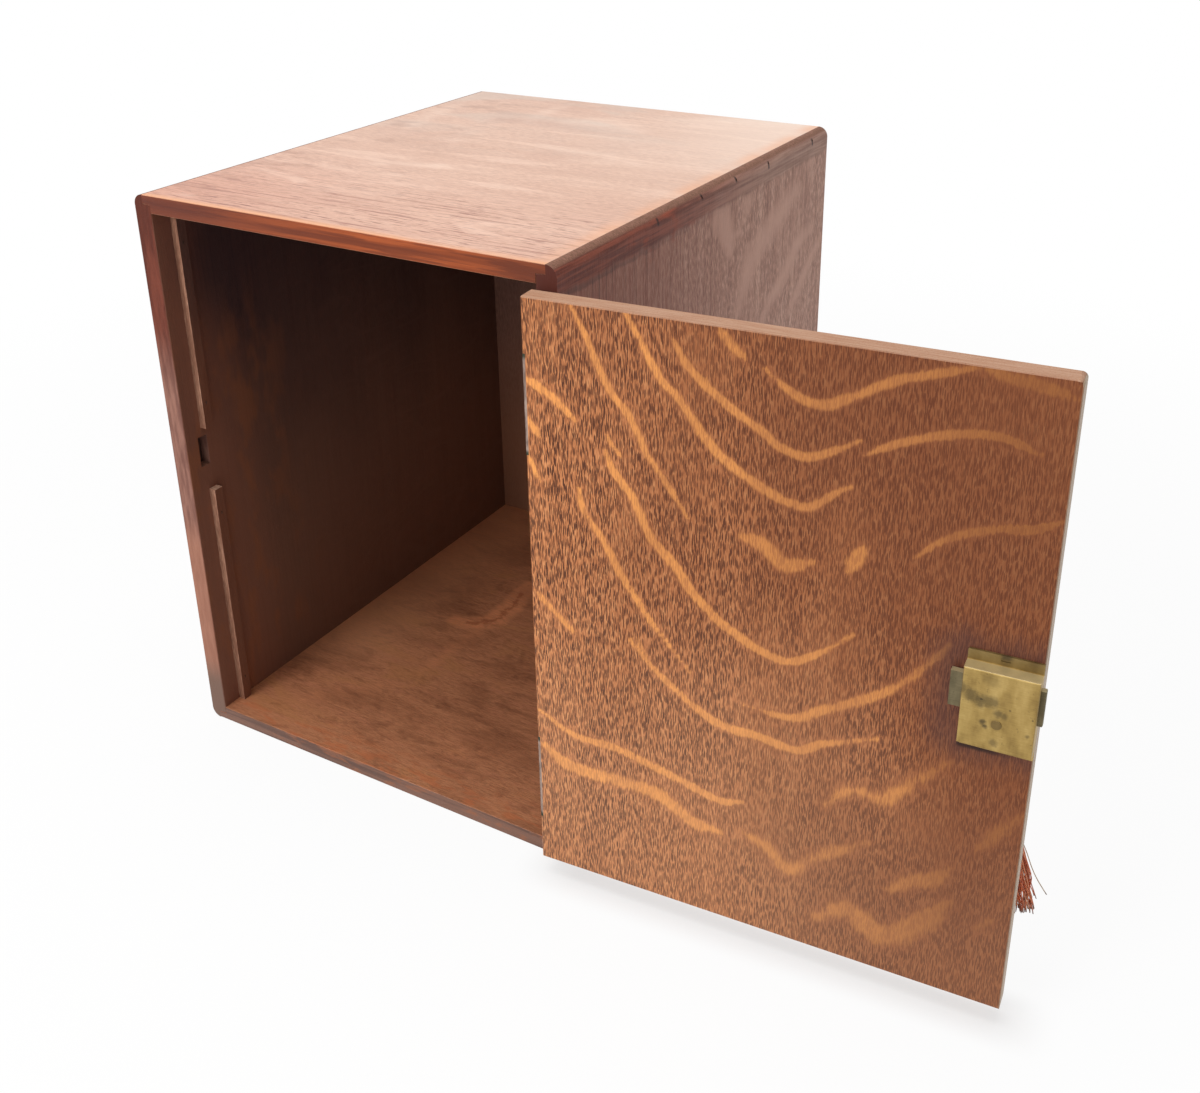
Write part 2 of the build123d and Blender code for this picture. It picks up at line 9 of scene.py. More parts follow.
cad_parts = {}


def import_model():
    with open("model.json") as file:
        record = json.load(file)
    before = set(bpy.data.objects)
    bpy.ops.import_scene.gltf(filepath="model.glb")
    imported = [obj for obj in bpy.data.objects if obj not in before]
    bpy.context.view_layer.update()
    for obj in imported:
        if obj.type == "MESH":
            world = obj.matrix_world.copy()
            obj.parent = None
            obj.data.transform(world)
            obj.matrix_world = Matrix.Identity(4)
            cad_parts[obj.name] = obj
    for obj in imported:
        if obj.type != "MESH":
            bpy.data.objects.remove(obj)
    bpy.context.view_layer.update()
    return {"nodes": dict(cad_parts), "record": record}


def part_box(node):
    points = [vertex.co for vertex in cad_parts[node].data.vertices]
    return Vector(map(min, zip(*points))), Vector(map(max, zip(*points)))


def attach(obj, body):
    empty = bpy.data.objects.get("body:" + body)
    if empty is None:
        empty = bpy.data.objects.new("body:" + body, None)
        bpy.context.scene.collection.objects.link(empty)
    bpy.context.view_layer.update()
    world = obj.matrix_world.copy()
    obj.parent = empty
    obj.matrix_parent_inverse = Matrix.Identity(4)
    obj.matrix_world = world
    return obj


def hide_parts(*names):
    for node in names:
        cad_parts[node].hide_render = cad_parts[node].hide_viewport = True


# The looks of a small oak cupboard box: figured oak boards, a brass cupboard lock, butt hinges,
# and a key with a tassel whose frayed threads show past the door.

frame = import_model()
nodes = frame["nodes"]
scene = bpy.context.scene
mm = 0.001
up = Vector((0, 0, 1))
sideways = Vector((1, 0, 0))
forwards = Vector((0, -1, 0))


def stand(name, data):
    """A new object of the scene that shows its data."""
    thing = bpy.data.objects.new(name, data)
    scene.collection.objects.link(thing)
    return thing


# Places taken from the frame


def reach(node, direction):
    """How far a node lies along a direction: its nearest and its furthest place."""
    places = [v.co.dot(direction) for v in nodes[node].data.vertices]
    return min(places), max(places)


door_swing = next(j for j in frame["record"]["behaviour"]["joints"] if j["name"] == "door_hinge")
door_turn = math.radians(-door_swing["range_deg"][0])
door_along = Vector((-math.cos(door_turn), -math.sin(door_turn), 0))
door_inward = Vector((-math.sin(door_turn), math.cos(door_turn), 0))
door_hinge_edge, door_free_edge = reach("door_panel", door_along)
door_outer_face, door_inner_face = reach("door_panel", door_inward)
case_low = Vector(map(min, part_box("left_side")[0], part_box("right_side")[0]))
case_high = Vector(map(max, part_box("left_side")[1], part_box("right_side")[1]))
front = case_low.y


# The photograph's view

photo_width, photo_height = 1200, 1093
photo_focal = 1375.133
photo_middle = (600.0, 405.94)
photo_place = (0.45378, -0.65172, 0.52989)
photo_turns_deg = (66.23086, 0.88179, 30.71251)
sensor_width = 36.0

camera_data = bpy.data.cameras.new("photo_view")
camera_data.sensor_width = sensor_width
camera_data.lens = sensor_width * photo_focal / photo_width
camera_data.shift_y = (photo_middle[1] - photo_height / 2) / photo_width
camera_data.clip_start = 0.01
camera = stand("photo_view", camera_data)
camera.location = photo_place
camera.rotation_euler = [math.radians(a) for a in photo_turns_deg]
scene.camera = camera
scene.view_settings.view_transform = "Standard"
camera_turn = camera.rotation_euler.to_matrix()


def seen_on_plane(pixel, point, normal):
    """Where the line of sight through a pixel of the photograph meets a plane."""
    sight = camera_turn @ Vector((
        (pixel[0] - photo_middle[0]) / photo_focal, (photo_middle[1] - pixel[1]) / photo_focal, -1,
    ))
    return camera.location + sight * ((point - camera.location).dot(normal) / sight.dot(normal))


# Node trees, written as expressions


def reckoning(operation):
    """A Math node's operation as a method of a value."""
    return lambda value, *others: value.math(operation, *others)


class Value:
    """The output of a node, which adds Math nodes to its tree when it is used in a sum."""

    def __init__(self, tree, socket):
        self.tree = tree
        self.socket = socket

    def math(self, operation, *others):
        return self.tree.add("ShaderNodeMath", dict(enumerate((self, *others))), operation=operation)

    def __rsub__(self, other):
        return self.tree.add("ShaderNodeMath", {0: other, 1: self}, operation="SUBTRACT")

    __add__ = __radd__ = reckoning("ADD")
    __sub__ = reckoning("SUBTRACT")
    __mul__ = __rmul__ = reckoning("MULTIPLY")
    __truediv__ = reckoning("DIVIDE")
    __pow__ = reckoning("POWER")
    __abs__ = reckoning("ABSOLUTE")

    def ramp(self, start, end):
        """0 before start and 1 past end, with a soft step between them. start may be the larger."""
        limits = {"Value": self, "From Min": start, "From Max": end}
        return self.tree.add("ShaderNodeMapRange", limits, interpolation_type="SMOOTHSTEP")

    def band(self, start, full, fade, end):
        """1 from full to fade, and 0 before start and past end."""
        return self.ramp(start, full) * self.ramp(end, fade)

    def outputs(self):
        """Every output of the node that this one comes from."""
        return [Value(self.tree, socket) for socket in self.socket.node.outputs]


class Tree:
    """A node tree that is being written."""

    def __init__(self, nodes_and_links):
        self.nodes = nodes_and_links.nodes
        self.links = nodes_and_links.links

    def add(self, kind, inputs=None, output=0, **settings):
        """Make a node of that kind, with its settings first and then its sockets' values or links."""
        node = self.nodes.new(kind)
        for name, value in settings.items():
            if name == "stops":
                ramp = node.color_ramp.elements
                for number, (place, colour) in enumerate(value):
                    element = ramp[number] if number < len(ramp) else ramp.new(place)
                    element.position = place
                    element.color = paint(colour)
            else:
                setattr(node, name, value)
        for name, value in (inputs or {}).items():
            if isinstance(value, Value):
                self.links.new(value.socket, node.inputs[name])
            else:
                node.inputs[name].default_value = value
        return Value(self, node.outputs[output] if node.outputs else None)

    def noise(self, place, scale, detail=2.0, roughness=0.5, distortion=0.0):
        return self.add("ShaderNodeTexNoise", {
            "Vector": self.vector("MULTIPLY", place, scale), "Scale": 1.0, "Detail": detail,
            "Roughness": roughness, "Distortion": distortion,
        })

    def cells(self, place, scale):
        """The distance to the nearest of many scattered points."""
        scaled = self.vector("MULTIPLY", place, scale)
        return self.add("ShaderNodeTexVoronoi", {"Vector": scaled, "Scale": 1.0})

    def vector(self, operation, *vectors, output=0):
        return self.add("ShaderNodeVectorMath", dict(enumerate(vectors)), output, operation=operation)

    def parts(self, vector):
        return self.add("ShaderNodeSeparateXYZ", {0: vector}).outputs()

    def joined(self, x, y, z):
        return self.add("ShaderNodeCombineXYZ", {0: x, 1: y, 2: z})

    def blend(self, factor, first, second):
        """A mix of two colours, each a link or three numbers from 0 to 255."""
        first, second = (c if isinstance(c, Value) else paint(c) for c in (first, second))
        return self.add("ShaderNodeMix", {0: factor, 6: first, 7: second}, 2, data_type="RGBA")

    def graded(self, value, stops, tones):
        """A colour from a value, between tones that each stand at a stop of their own."""
        return self.add("ShaderNodeValToRGB", {0: value}, stops=zip(stops, tones))

    def seen(self):
        """1 for what the camera sees, also in a mirror or through glass."""
        rays = self.add("ShaderNodeLightPath").outputs()
        camera_ray, glossy_ray, transmission_ray = rays[0], rays[3], rays[6]
        return camera_ray.math("MAXIMUM", glossy_ray).math("MAXIMUM", transmission_ray)


def paint(colour):
    """A colour as the eye names it, three numbers from 0 to 255, made linear for the shader."""
    shares = [c / 255 for c in colour]
    return [s / 12.92 if s <= 0.04045 else ((s + 0.055) / 1.055) ** 2.4 for s in shares] + [1.0]


class Finish(Tree):
    """The tree of a new material, with its place on the piece in millimetres."""

    def __init__(self, name, turn=0.0):
        self.material = bpy.data.materials.new(name)
        self.material.use_nodes = True
        super().__init__(self.material.node_tree)
        self.nodes.clear()
        place = self.add("ShaderNodeTexCoord", output=3)
        normal = self.add("ShaderNodeTexCoord", output=1)
        if turn:
            place, normal = (
                self.add("ShaderNodeVectorRotate", {"Vector": v, "Angle": turn}, rotation_type="Z_AXIS")
                for v in (place, normal)
            )
        self.place = self.vector("MULTIPLY", place, (1 / mm,) * 3)
        self.x, self.y, self.z = self.parts(self.place)
        self.facing = self.parts(normal)

    def attribute(self, name):
        return self.add("ShaderNodeAttribute", output=2, attribute_name=name)

    def mottle(self, scale, detail=3, roughness=0.6, distortion=0.0):
        """Noise over the piece."""
        return self.noise(self.place, scale, detail, roughness, distortion)

    def patches(self, scale, start, end, *kind):
        """Noise over the piece, made into soft patches between two of its values."""
        return self.mottle(scale, *kind).ramp(start, end)

    def lay(self, *layers):
        """Lay colours over the ground that the finish has so far, each given as (strength, colour)."""
        for strength, colour in layers:
            self.ground = self.blend(strength, self.ground, colour)

    def surface(self, colour, roughness, height, depth, metallic=0.0, shine=0.5):
        """Join the finish to the material's output. depth is the bump's height in millimetres."""
        bump = self.add("ShaderNodeBump", {"Height": height, "Distance": depth * mm})
        shader = self.add("ShaderNodeBsdfPrincipled", {
            "Base Color": colour, "Roughness": roughness, "Metallic": metallic, "Normal": bump,
            "Specular IOR Level": shine,
        })
        self.add("ShaderNodeOutputMaterial", {0: shader})
        return self.material


# Oak


# Pores in a millimetre across, through and along the grain
pores_per_mm = (1.9, 1.9, 0.2)


class Wood(Finish):
    """The finish of a board whose grain runs along X or Z, with what its grain and its stain share."""

    def __init__(self, name, grain, turn):
        super().__init__(name, turn)
        x, y, z = self.x, self.y, self.z
        self.along, self.across, self.through = (x, y, z) if grain == "X" else (z, x, y)
        self.grainwise = self.joined(self.across, self.through, self.along)
        self.cloud = self.noise(self.grainwise, (0.016, 0.016, 0.006))
        self.streaks = self.noise(self.grainwise, (0.24, 0.24, 0.007), 4, 0.65)
        self.pits = self.cells(self.grainwise, pores_per_mm).ramp(0.52, 0.4)
        self.end_face = abs(self.facing[0 if grain == "X" else 2]).ramp(0.6, 0.8)
        self.front_face = self.facing[1].ramp(-0.6, -0.8)


def oak(
    name, grain, tones, fleck_tone, stain, contrast, streaky=0.2, edges=None, wander=0.0, turn=0.0,
    end_tone=(150, 112, 84), shine=0.35,
):
    """Waxed oak, with its pores as short dark dashes along the grain and paler ray flecks across it.

    tones are the colours from the darkest pore to the lightest speck. A figured board has its own
    ray flecks, which show from the first of edges to the second, and wander is how strongly other
    flecks wander over the wood by themselves.
    """
    wood = Wood(name, grain, turn)
    grainwise = wood.grainwise
    fibres = wood.noise(grainwise, (2.0, 2.0, 0.05))
    dashes = wood.noise(grainwise, (1.7, 1.7, 0.22), 3, 0.5)
    open_grain = wood.noise(grainwise, (0.03, 0.03, 0.012)).ramp(0.3, 0.55)
    pores = wood.pits * (0.55 + 0.45 * open_grain)
    speckle = 0.55 + (dashes - 0.5) * (contrast * 0.7)
    speckle = speckle + (wood.streaks - 0.5) * streaky + (wood.cloud - 0.5) * 0.15
    wood.ground = wood.graded(speckle, (0.34, 0.46, 0.54, 0.68), tones)
    wood.lay((pores * (0.88 * contrast), tones[0]))
    flecks = 0.0
    if wander:
        slanted = wood.joined(wood.across, wood.through, wood.along + wood.across * 0.35)
        drift = wood.noise(slanted, (0.007, 0.007, 0.026), 1, 0.4, 0.3)
        shown = wood.noise(slanted, (0.02, 0.02, 0.05), 1).ramp(0.42, 0.6)
        flecks = (drift * 9).math("PINGPONG", 0.5).ramp(0.16, 0.02) * shown * wander
    if edges:
        band = wood.attribute("fleck")
        faint = wood.noise(grainwise, (0.07, 0.07, 0.03)).ramp(0.3, 0.6)
        torn = wood.noise(grainwise, (0.8, 0.8, 0.1), 3, 0.6)
        swell = wood.noise(grainwise, (0.09, 0.09, 0.07))
        ragged = band * (0.55 + 0.9 * swell) + (fibres - 0.5) * 0.4 + (torn - 0.5) * 0.7
        wood.lay(((band + (torn - 0.5) * 0.3).ramp(0.05, 0.6) * 0.5, tones[2]))
        drawn = ragged.ramp(*edges) * band.ramp(0.02, 0.3) * (0.74 + 0.26 * faint)
        flecks = drawn + flecks
    if wander or edges:
        lined = (fibres - 0.36) * 0.9 + pores * 0.45
        wood.lay((flecks, wood.blend(lined, fleck_tone, tones[2])))
    stain(wood)
    rays = wood.noise(grainwise, (0.05, 1.6, 1.6)).ramp(0.35, 0.65)
    dots = wood.cells(grainwise, (1.3, 1.3, 1.3)).ramp(0.34, 0.26)
    wood.lay((wood.end_face, wood.blend(rays * 0.4 + dots * 0.3, end_tone, tones[1])))
    roughness = 0.42 + (fibres - 0.5) * 0.2 - flecks * 0.06 + wood.end_face * 0.2
    height = dashes * 0.6 + fibres * 0.4 - pores * 0.5
    return wood.surface(wood.ground, roughness, height, 0.07, shine=shine)


left_mm, right_mm, front_mm, top_mm = (
    place / mm for place in (case_low.x, case_high.x, front, case_high.z)
)
inner_left_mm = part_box("left_side")[1].x / mm
hinge_mm = door_hinge_edge / mm
strike_low, strike_high = (corner.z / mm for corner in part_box("lock_bolt"))
lock_along, lock_height = (
    [place / mm for place in reach("lock_cap", way)] for way in (door_along, up)
)


def below_cap():
    """Where the sight line past the cap's lower front corner meets the door, along it and below the cap."""
    low = [reach("lock_cap", way)[0] for way in (door_along, up)]
    corner = door_along * low[0] + up * low[1] + door_inward * reach("lock_cap", door_inward)[1]
    past_corner = corner - camera.location
    past_corner *= (door_inner_face - camera.location.dot(door_inward)) / past_corner.dot(door_inward)
    meeting = (camera.location + past_corner) / mm
    return meeting.dot(door_along), lock_height[0] - meeting.z


def door_stain(wood):
    """Darker and redder towards the free edge and the top, yellower low down, grimy round the lock, and a
    painted shadow under its cap.
    """
    along = 0 - wood.x
    from_hinges = along - hinge_mm
    cloud = wood.cloud - 0.5
    figure = wood.attribute("fleck").ramp(0.3, 0.8)
    redder = (from_hinges * (1 / 230) + wood.z * (1 / 560) + cloud * 1.2).ramp(0.2, 1.35)
    kept = figure * from_hinges.ramp(225, 165)
    yellower = (wood.z + cloud * 200).ramp(230, 40) * from_hinges.ramp(210, 120)
    past = [
        (low - place).math("MAXIMUM", place - high).math("MAXIMUM", 0.0)
        for place, (low, high) in ((along, lock_along), (wood.z, lock_height))
    ]
    from_lock = (past[0] * past[0] + past[1] * past[1]).math("SQRT")
    grime = (from_lock + (wood.streaks - 0.5) * 18 + cloud * 22).ramp(22, 4)
    inner = wood.facing[1].ramp(-0.6, 0.6)
    # shaded is a painted shadow: a dark band on the door's inner face just below the lock's cap.
    start, depth = below_cap()
    shaded = (lock_height[0] - wood.z).band(0, 1, depth + 0.8, depth + 2.6) * inner
    shaded = shaded * along.band(start - 0.5, start + 1, lock_along[1] - 22, lock_along[1] - 4)
    duller = (wood.z + cloud * 60).ramp(170, 30) * from_hinges.ramp(90, 200)
    pits = wood.pits * (1 - figure * 0.7)
    wood.lay(
        (redder * (0.78 - 0.24 * kept), (106, 55, 30)),
        (yellower * 0.22, (196, 150, 116)),
        (grime * (0.2 + 0.4 * inner), (78, 50, 46)),
        (shaded * 0.85, (30, 18, 16)),
        (duller * 0.35, (146, 102, 76)),
        (pits * (0.34 - redder * 0.3), (66, 36, 26)),
        (wood.facing[0].ramp(-0.6, -0.8) * 0.7, (206, 184, 156)),
    )


def top_stain(wood):
    """Orange towards the front left, rubbed pale along the arrises, rusty on the front edge, and a painted
    sheen towards the back right.
    """
    from_front, from_left, from_right = wood.y - front_mm, wood.x - left_mm, right_mm - wood.x
    near, back = from_front.ramp(150, 0), from_front.ramp(120, 300)
    patches = wood.mottle((0.01, 0.035, 0.05))
    open_pores = wood.patches((0.07, 0.8, 0.8), 0.53, 0.66)
    waves = wood.mottle((0.008, 0.05, 0.05), 4, 0.6, 1.0)
    thin = wood.patches((0.012, 0.35, 0.35), 0.54, 0.62)
    mottled = wood.patches((0.025, 0.06, 0.06), 0.5, 0.64, 4, 0.65)
    greyer = wood.patches((0.007, 0.016, 0.02), 0.46, 0.62, 3, 0.55, 0.6)
    rubbed = from_front.ramp(7, 1) + from_right.ramp(18, 7) * 0.6
    wood.lay(
        (near * wood.x.ramp(20, left_mm) * 0.45, (202, 130, 104)),
        (open_pores * near * (0.4 + 0.6 * patches.ramp(0.3, 0.6)), (116, 52, 40)),
        (waves.ramp(0.5, 0.68) * 0.3, (198, 150, 128)),
        (waves.ramp(0.46, 0.34) * 0.35, (248, 214, 192)),
        (near * 0.14, (226, 156, 130)),
        (thin * from_front.ramp(110, 20) * 0.6, (146, 76, 58)),
        (mottled * wood.x.ramp(10, left_mm) * 0.45, (164, 112, 90)),
        (greyer * back * 0.5, (208, 188, 174)),
        # A painted sheen: the top paled almost to white towards the back right.
        (wood.x.ramp(0, right_mm) * back * 0.6, (252, 228, 210)),
        (rubbed * patches.ramp(0.2, 0.6), (232, 166, 122)),
    )
    rust = wood.blend(wood.streaks.ramp(0.36, 0.62), (166, 84, 46), (134, 66, 38))
    darker = wood.patches((0.015, 0.35, 0.35), 0.52, 0.6)
    off_middle = abs(wood.z - (top_mm - 5.5) + (patches - 0.5) * 5)
    lens = from_left.ramp(70, 110) * from_right.ramp(30, 80) * off_middle.ramp(2.0, 0.9)
    rust = wood.blend(darker.math("MAXIMUM", lens) * 0.5, rust, (80, 40, 32))
    rust = wood.blend(from_left.ramp(170, 20) * 0.8, rust, (92, 50, 42))
    rust = wood.blend(from_right.ramp(60, 10) * 0.55, rust, (98, 52, 38))
    wood.lay((wood.front_face, rust))


nicks = [
    seen_on_plane(pixel, case_high, sideways) / mm
    for pixel in ((812.5, 142.5), (769, 165.5), (737, 179), (703, 196.5), (658.5, 222))
]


def side_stain(wood):
    """Redder towards the front, dark and nicked along the rounded arris, rubbed in front, dim inside, with
    painted shade in the bolt's mortise.
    """
    from_front, from_left, from_top = wood.y - front_mm, wood.x - left_mm, top_mm - wood.z
    near = from_front.ramp(220, 10)
    lines = wood.mottle((1.2, 0.55, 0.01))
    edge = from_top - wood.mottle((0.03, 0.06, 0.03), 4, 0.7) * 7
    lip, seam = edge.ramp(12.5, 9), edge.ramp(14.5, 13)
    lip_streaks = wood.patches((0.5, 0.02, 0.5), 0.35, 0.65)
    far = wood.blend(lip_streaks, (148, 108, 92), (184, 146, 128))
    close = wood.blend(lip_streaks, (94, 38, 26), (144, 74, 54))
    wood.lay(
        (near * 0.75, (136, 76, 58)),
        (lines.ramp(0.52, 0.64) * 0.6 * near, (70, 38, 32)),
        (lines.ramp(0.46, 0.34) * 0.4 * near, (178, 122, 102)),
        (lip * 0.9, wood.blend(from_front.ramp(270, 90), far, close)),
    )
    for _, y, z in nicks:
        nick = abs(wood.y - y).ramp(1.3, 0.5) * abs(wood.z - z).ramp(2.6, 1.2)
        wood.lay((nick * (right_mm - wood.x).ramp(12, 10) * 0.85, (34, 20, 18)))
    glow = wood.patches((0.2, 0.05, 0.12), 0.54, 0.7, 2, 0.5)
    glow = glow * from_top.ramp(26, 14) * from_front.band(30, 80, 90, 180)
    dim = wood.blend((wood.z + (wood.cloud - 0.5) * 110).ramp(320, 60), (48, 38, 42), (114, 82, 66))
    behind = from_front + (wood.cloud - 0.5) * 30 + wood.z.ramp(220, 300) * 32
    dim = wood.blend(behind.ramp(75, 20) * 0.85, dim, (128, 84, 66))
    brown = wood.patches((0.05, 0.05, 0.02), 0.48, 0.62) * wood.z.ramp(290, 220) * from_front.ramp(110, 50)
    dim = wood.blend(brown * 0.35, dim, (146, 88, 52))
    inside = (wood.facing[0] * wood.x.math("SIGN")).ramp(-0.6, -0.8)
    # Painted shade: the faces of the bolt's mortise in the wall are darkened almost to black.
    sunk = (wood.x - inner_left_mm).ramp(-0.3, -1.2) * from_left.ramp(2.5, 4) * from_front.band(1, 2, 26, 30)
    sunk = sunk * wood.z.band(strike_low - 6, strike_low - 4, strike_high + 4, strike_high + 6)
    rubbed = wood.patches((0.25, 0.2, 0.035), 0.36, 0.66, 4, 0.65)
    upper = wood.blend(rubbed, (88, 44, 34), (114, 60, 46))
    lower = wood.blend(rubbed, (114, 76, 66), (146, 104, 90))
    lower = wood.blend(wood.z.ramp(150, 120) * 0.5, lower, (172, 118, 94))
    lower = wood.blend(wood.z.ramp(48, 24), lower, (118, 92, 80))
    front_tone = wood.blend(wood.z.ramp(268, 226), upper, lower)
    front_tone = wood.blend(wood.x.ramp(0, 1), front_tone, (84, 44, 36))
    wood.lay(
        (seam * (1 - lip) * 0.45 * near, (62, 30, 26)),
        (glow * 0.5, (176, 80, 50)),
        (inside * 0.93, dim),
        (sunk * 0.85, (34, 22, 20)),
        (wood.front_face, front_tone),
    )


def floor_stain(wood):
    """The cabinet's floor, smoky and streaked, with its front edge dark and rubbed orange in places, and
    painted light beside the left wall.
    """
    from_front, from_left = wood.y - front_mm, wood.x - left_mm
    stained = wood.mottle((0.012, 0.03, 0.03), 4, 0.6, 0.8)
    smoke = wood.patches((0.03, 0.08, 0.05), 0.5, 0.66, 4, 0.65, 1.5)
    patches = wood.patches((0.05, 0.2, 0.2), 0.48, 0.62)
    wisps = wood.patches((0.03, 0.22, 0.2), 0.5, 0.66, 4, 0.7, 1.2)
    ripples = wood.mottle((0.25, 0.25, 0.25), 3, 0.7)
    core = (wood.attribute("fleck") + (ripples - 0.5) * 1.4).ramp(1.2, 1.55)
    # Painted light: the floor is made paler beside the left wall, where the wall shades it.
    painted_light_by_wall = (wood.x - inner_left_mm).ramp(70, 0) * from_front.ramp(50, 120)
    edge = wood.blend(wood.streaks.ramp(0.4, 0.6), (94, 64, 52), (122, 86, 70))
    edge = wood.blend(patches * from_left.ramp(25, 80) * 0.55, edge, (152, 92, 58))
    wood.lay(
        (stained.ramp(0.46, 0.64) * 0.36, (104, 60, 40)),
        (stained.ramp(0.46, 0.34) * 0.35, (178, 122, 74)),
        (smoke * 0.3, (90, 48, 34)),
        (wisps * 0.3, (196, 128, 96)),
        (from_front.ramp(28, 2) * patches * 0.55, (190, 108, 68)),
        (core * 0.5, (138, 68, 42)),
        (painted_light_by_wall * 0.5, (244, 176, 130)),
        (wood.front_face, edge),
    )


def back_stain(wood):
    """The back panel, dark under the top and browner low down inside, and plain oak outside."""
    outside = wood.blend(wood.streaks.ramp(0.3, 0.7), (142, 98, 76), (176, 128, 102))
    outside = wood.blend(0.7, wood.ground, outside)
    lower = (wood.z + (wood.cloud - 0.5) * 60).ramp(230, 40)
    wood.lay((lower * 0.6, (166, 114, 82)), (wood.facing[1].ramp(0.6, 0.8), outside))


def strip_stain(wood):
    """The strips' faces towards the inside are as dark as the wall that they are fixed to."""
    worn = wood.patches((0.4, 0.4, 0.04), 0.36, 0.6, 3, 0.65)
    sunk = wood.blend(wood.z.ramp(300, 220), (74, 50, 46), (112, 68, 50))
    wood.lay((worn * 0.55, (112, 70, 52)), (wood.facing[0].ramp(0.6, 0.8) * 0.9, sunk))


door_inner_oak, door_outer_oak = (
    oak(
        name, "Z", ((74, 38, 24), (154, 95, 58), (188, 118, 73), (214, 147, 96)), (240, 162, 88),
        door_stain, edges=(0.43, 0.68), wander=wander, turn=-door_turn, contrast=1.05,
        end_tone=(190, 150, 124), shine=0.18,
    ) for name, wander in (("door_oak", 0.0), ("door_outer_oak", 1.0))
)
top_oak, top_edge_oak = (
    oak(
        name, "X", ((178, 128, 106), (208, 162, 138), (222, 180, 156), (234, 198, 176)), (244, 212, 190),
        top_stain, edges=(0.0, 1.0), contrast=0.45, streaky=0.15, shine=shine,
    ) for name, shine in (("top_oak", 0.5), ("top_edge_oak", 0.1))
)
side_oak, side_edge_oak, far_side_oak = (
    oak(
        name, "Z", ((130, 86, 72), (174, 127, 109), (196, 149, 129), (214, 171, 151)), (206, 158, 138),
        side_stain, edges=(0.0, 0.95), wander=wander, contrast=0.85, streaky=0.6, shine=shine,
        end_tone=(120, 84, 66),
    ) for name, shine, wander in (
        ("side_oak", 0.14, 0.0), ("side_edge_oak", 0.08, 0.0), ("far_side_oak", 0.14, 0.8),
    )
)
inner_oak = oak(
    "inner_oak", "Z", ((68, 50, 44), (104, 76, 68), (120, 88, 78), (140, 106, 92)), (150, 114, 98),
    back_stain, contrast=0.4, wander=0.1, shine=0.15,
)
floor_oak = oak(
    "floor_oak", "X", ((114, 68, 44), (163, 106, 74), (182, 121, 86), (198, 137, 98)), (218, 142, 98),
    floor_stain, edges=(0.1, 0.9), contrast=0.4, streaky=0.1, shine=0.3,
)
strip_oak = oak(
    "strip_oak", "Z", ((118, 78, 60), (154, 110, 88), (178, 132, 108), (204, 160, 134)), (204, 160, 134),
    strip_stain, contrast=0.6, end_tone=(196, 158, 134),
)


# Metal and thread


lock_marks = (
    ("lock_cap", (
        (4.5, 0.6, (962, 688)), (5, 0.65, (970, 694)), (5, 0.7, (980, 700)), (1.4, 0.95, (981.5, 699)),
        (4.4, 0.6, (992, 703)), (3, 0.6, (998, 714)), (2.4, 0.5, (1004, 717)), (2.2, 0.8, (983, 722)),
        (1.9, 0.8, (984.5, 726)), (5, 0.25, (992, 681)), (2.8, 0.5, (993, 743)), (0.8, 0.6, (1010, 711)),
        (1.4, 0.5, (1027, 737)), (0.6, 0.8, (1032.7, 721)), (3.6, 0.4, (995, 725)), (4.6, 0.55, (975, 697)),
        (4.6, 0.6, (986, 701)),
    )),
    ("lock_back_plate", ((3.6, 0.8, (1007, 657)),)),
)


def brass(name, tones, marks=()):
    """Old brass from its darkest tone to its lightest, with dark spots on the faces of some nodes, painted
    shade on the plate above the cap and a painted highlight on faces turned up below it.

    marks holds each node with its spots, and a spot is (radius in millimetres, strength, pixel of
    the photograph).
    """
    metal = Finish(name, -door_turn)
    smears = metal.mottle((0.12, 0.12, 0.05))
    brushed = metal.mottle((0.2, 0.2, 3.0))
    ragged = metal.mottle((0.5, 0.5, 0.5), 3, 0.65)
    metal.ground = metal.graded(smears + (brushed - 0.5) * 0.25, (0.3, 0.5, 0.7), tones)
    dark = ragged.ramp(0.64, 0.74) * 0.4
    for node, spots in marks:
        face = door_inward * reach(node, door_inward)[1]
        for radius, strength, pixel in spots:
            spot = Matrix.Rotation(-door_turn, 3, "Z") @ seen_on_plane(pixel, face, door_inward) / mm
            away = metal.vector("DISTANCE", metal.place, spot, output=1)
            mark = (away + (ragged - 0.5) * radius).ramp(radius, radius * 0.2) * strength
            dark = dark.math("MAXIMUM", mark)
    # Painted shade darkens the back plate above the cap, and a painted highlight pales the faces turned up
    # below it; both are made less metallic.
    flange_shade = metal.z.ramp(lock_height[1] + 0.1, lock_height[1] + 0.6)
    upward_highlight = metal.facing[2].ramp(0.6, 0.9) * (1 - flange_shade)
    metal.lay((dark, (78, 68, 50)), (flange_shade * 0.55, (82, 66, 38)), (upward_highlight * 0.6, (206, 190, 146)))
    roughness = 0.38 + smears * 0.2 + dark * 0.2
    metallic = 0.85 - upward_highlight * 0.5 - flange_shade * 0.3
    return metal.surface(metal.ground, roughness, brushed + smears, 0.02, metallic=metallic)


def worn_leaf():
    """Hinge leaves rubbed to a pinkish grey, with dark green left at their ends."""
    metal = Finish("worn_hinge_metal")
    smears = metal.mottle((0.5, 0.5, 0.09))
    rubbed = metal.blend(smears.ramp(0.35, 0.6), (116, 96, 86), (168, 146, 134))
    upper, lower = (
        1 - abs(metal.z - (low + high) / 2 / mm) / ((high - low) / 2 / mm)
        for low, high in (reach(leaf, up) for leaf in hinge_leaves)
    )
    ends = upper.math("MAXIMUM", lower) + (smears - 0.5) * 0.12
    colour = metal.blend(ends.ramp(0.14, 0.04), rubbed, (52, 58, 44))
    return metal.surface(colour, 0.4 + smears * 0.2, smears, 0.03, metallic=0.6)


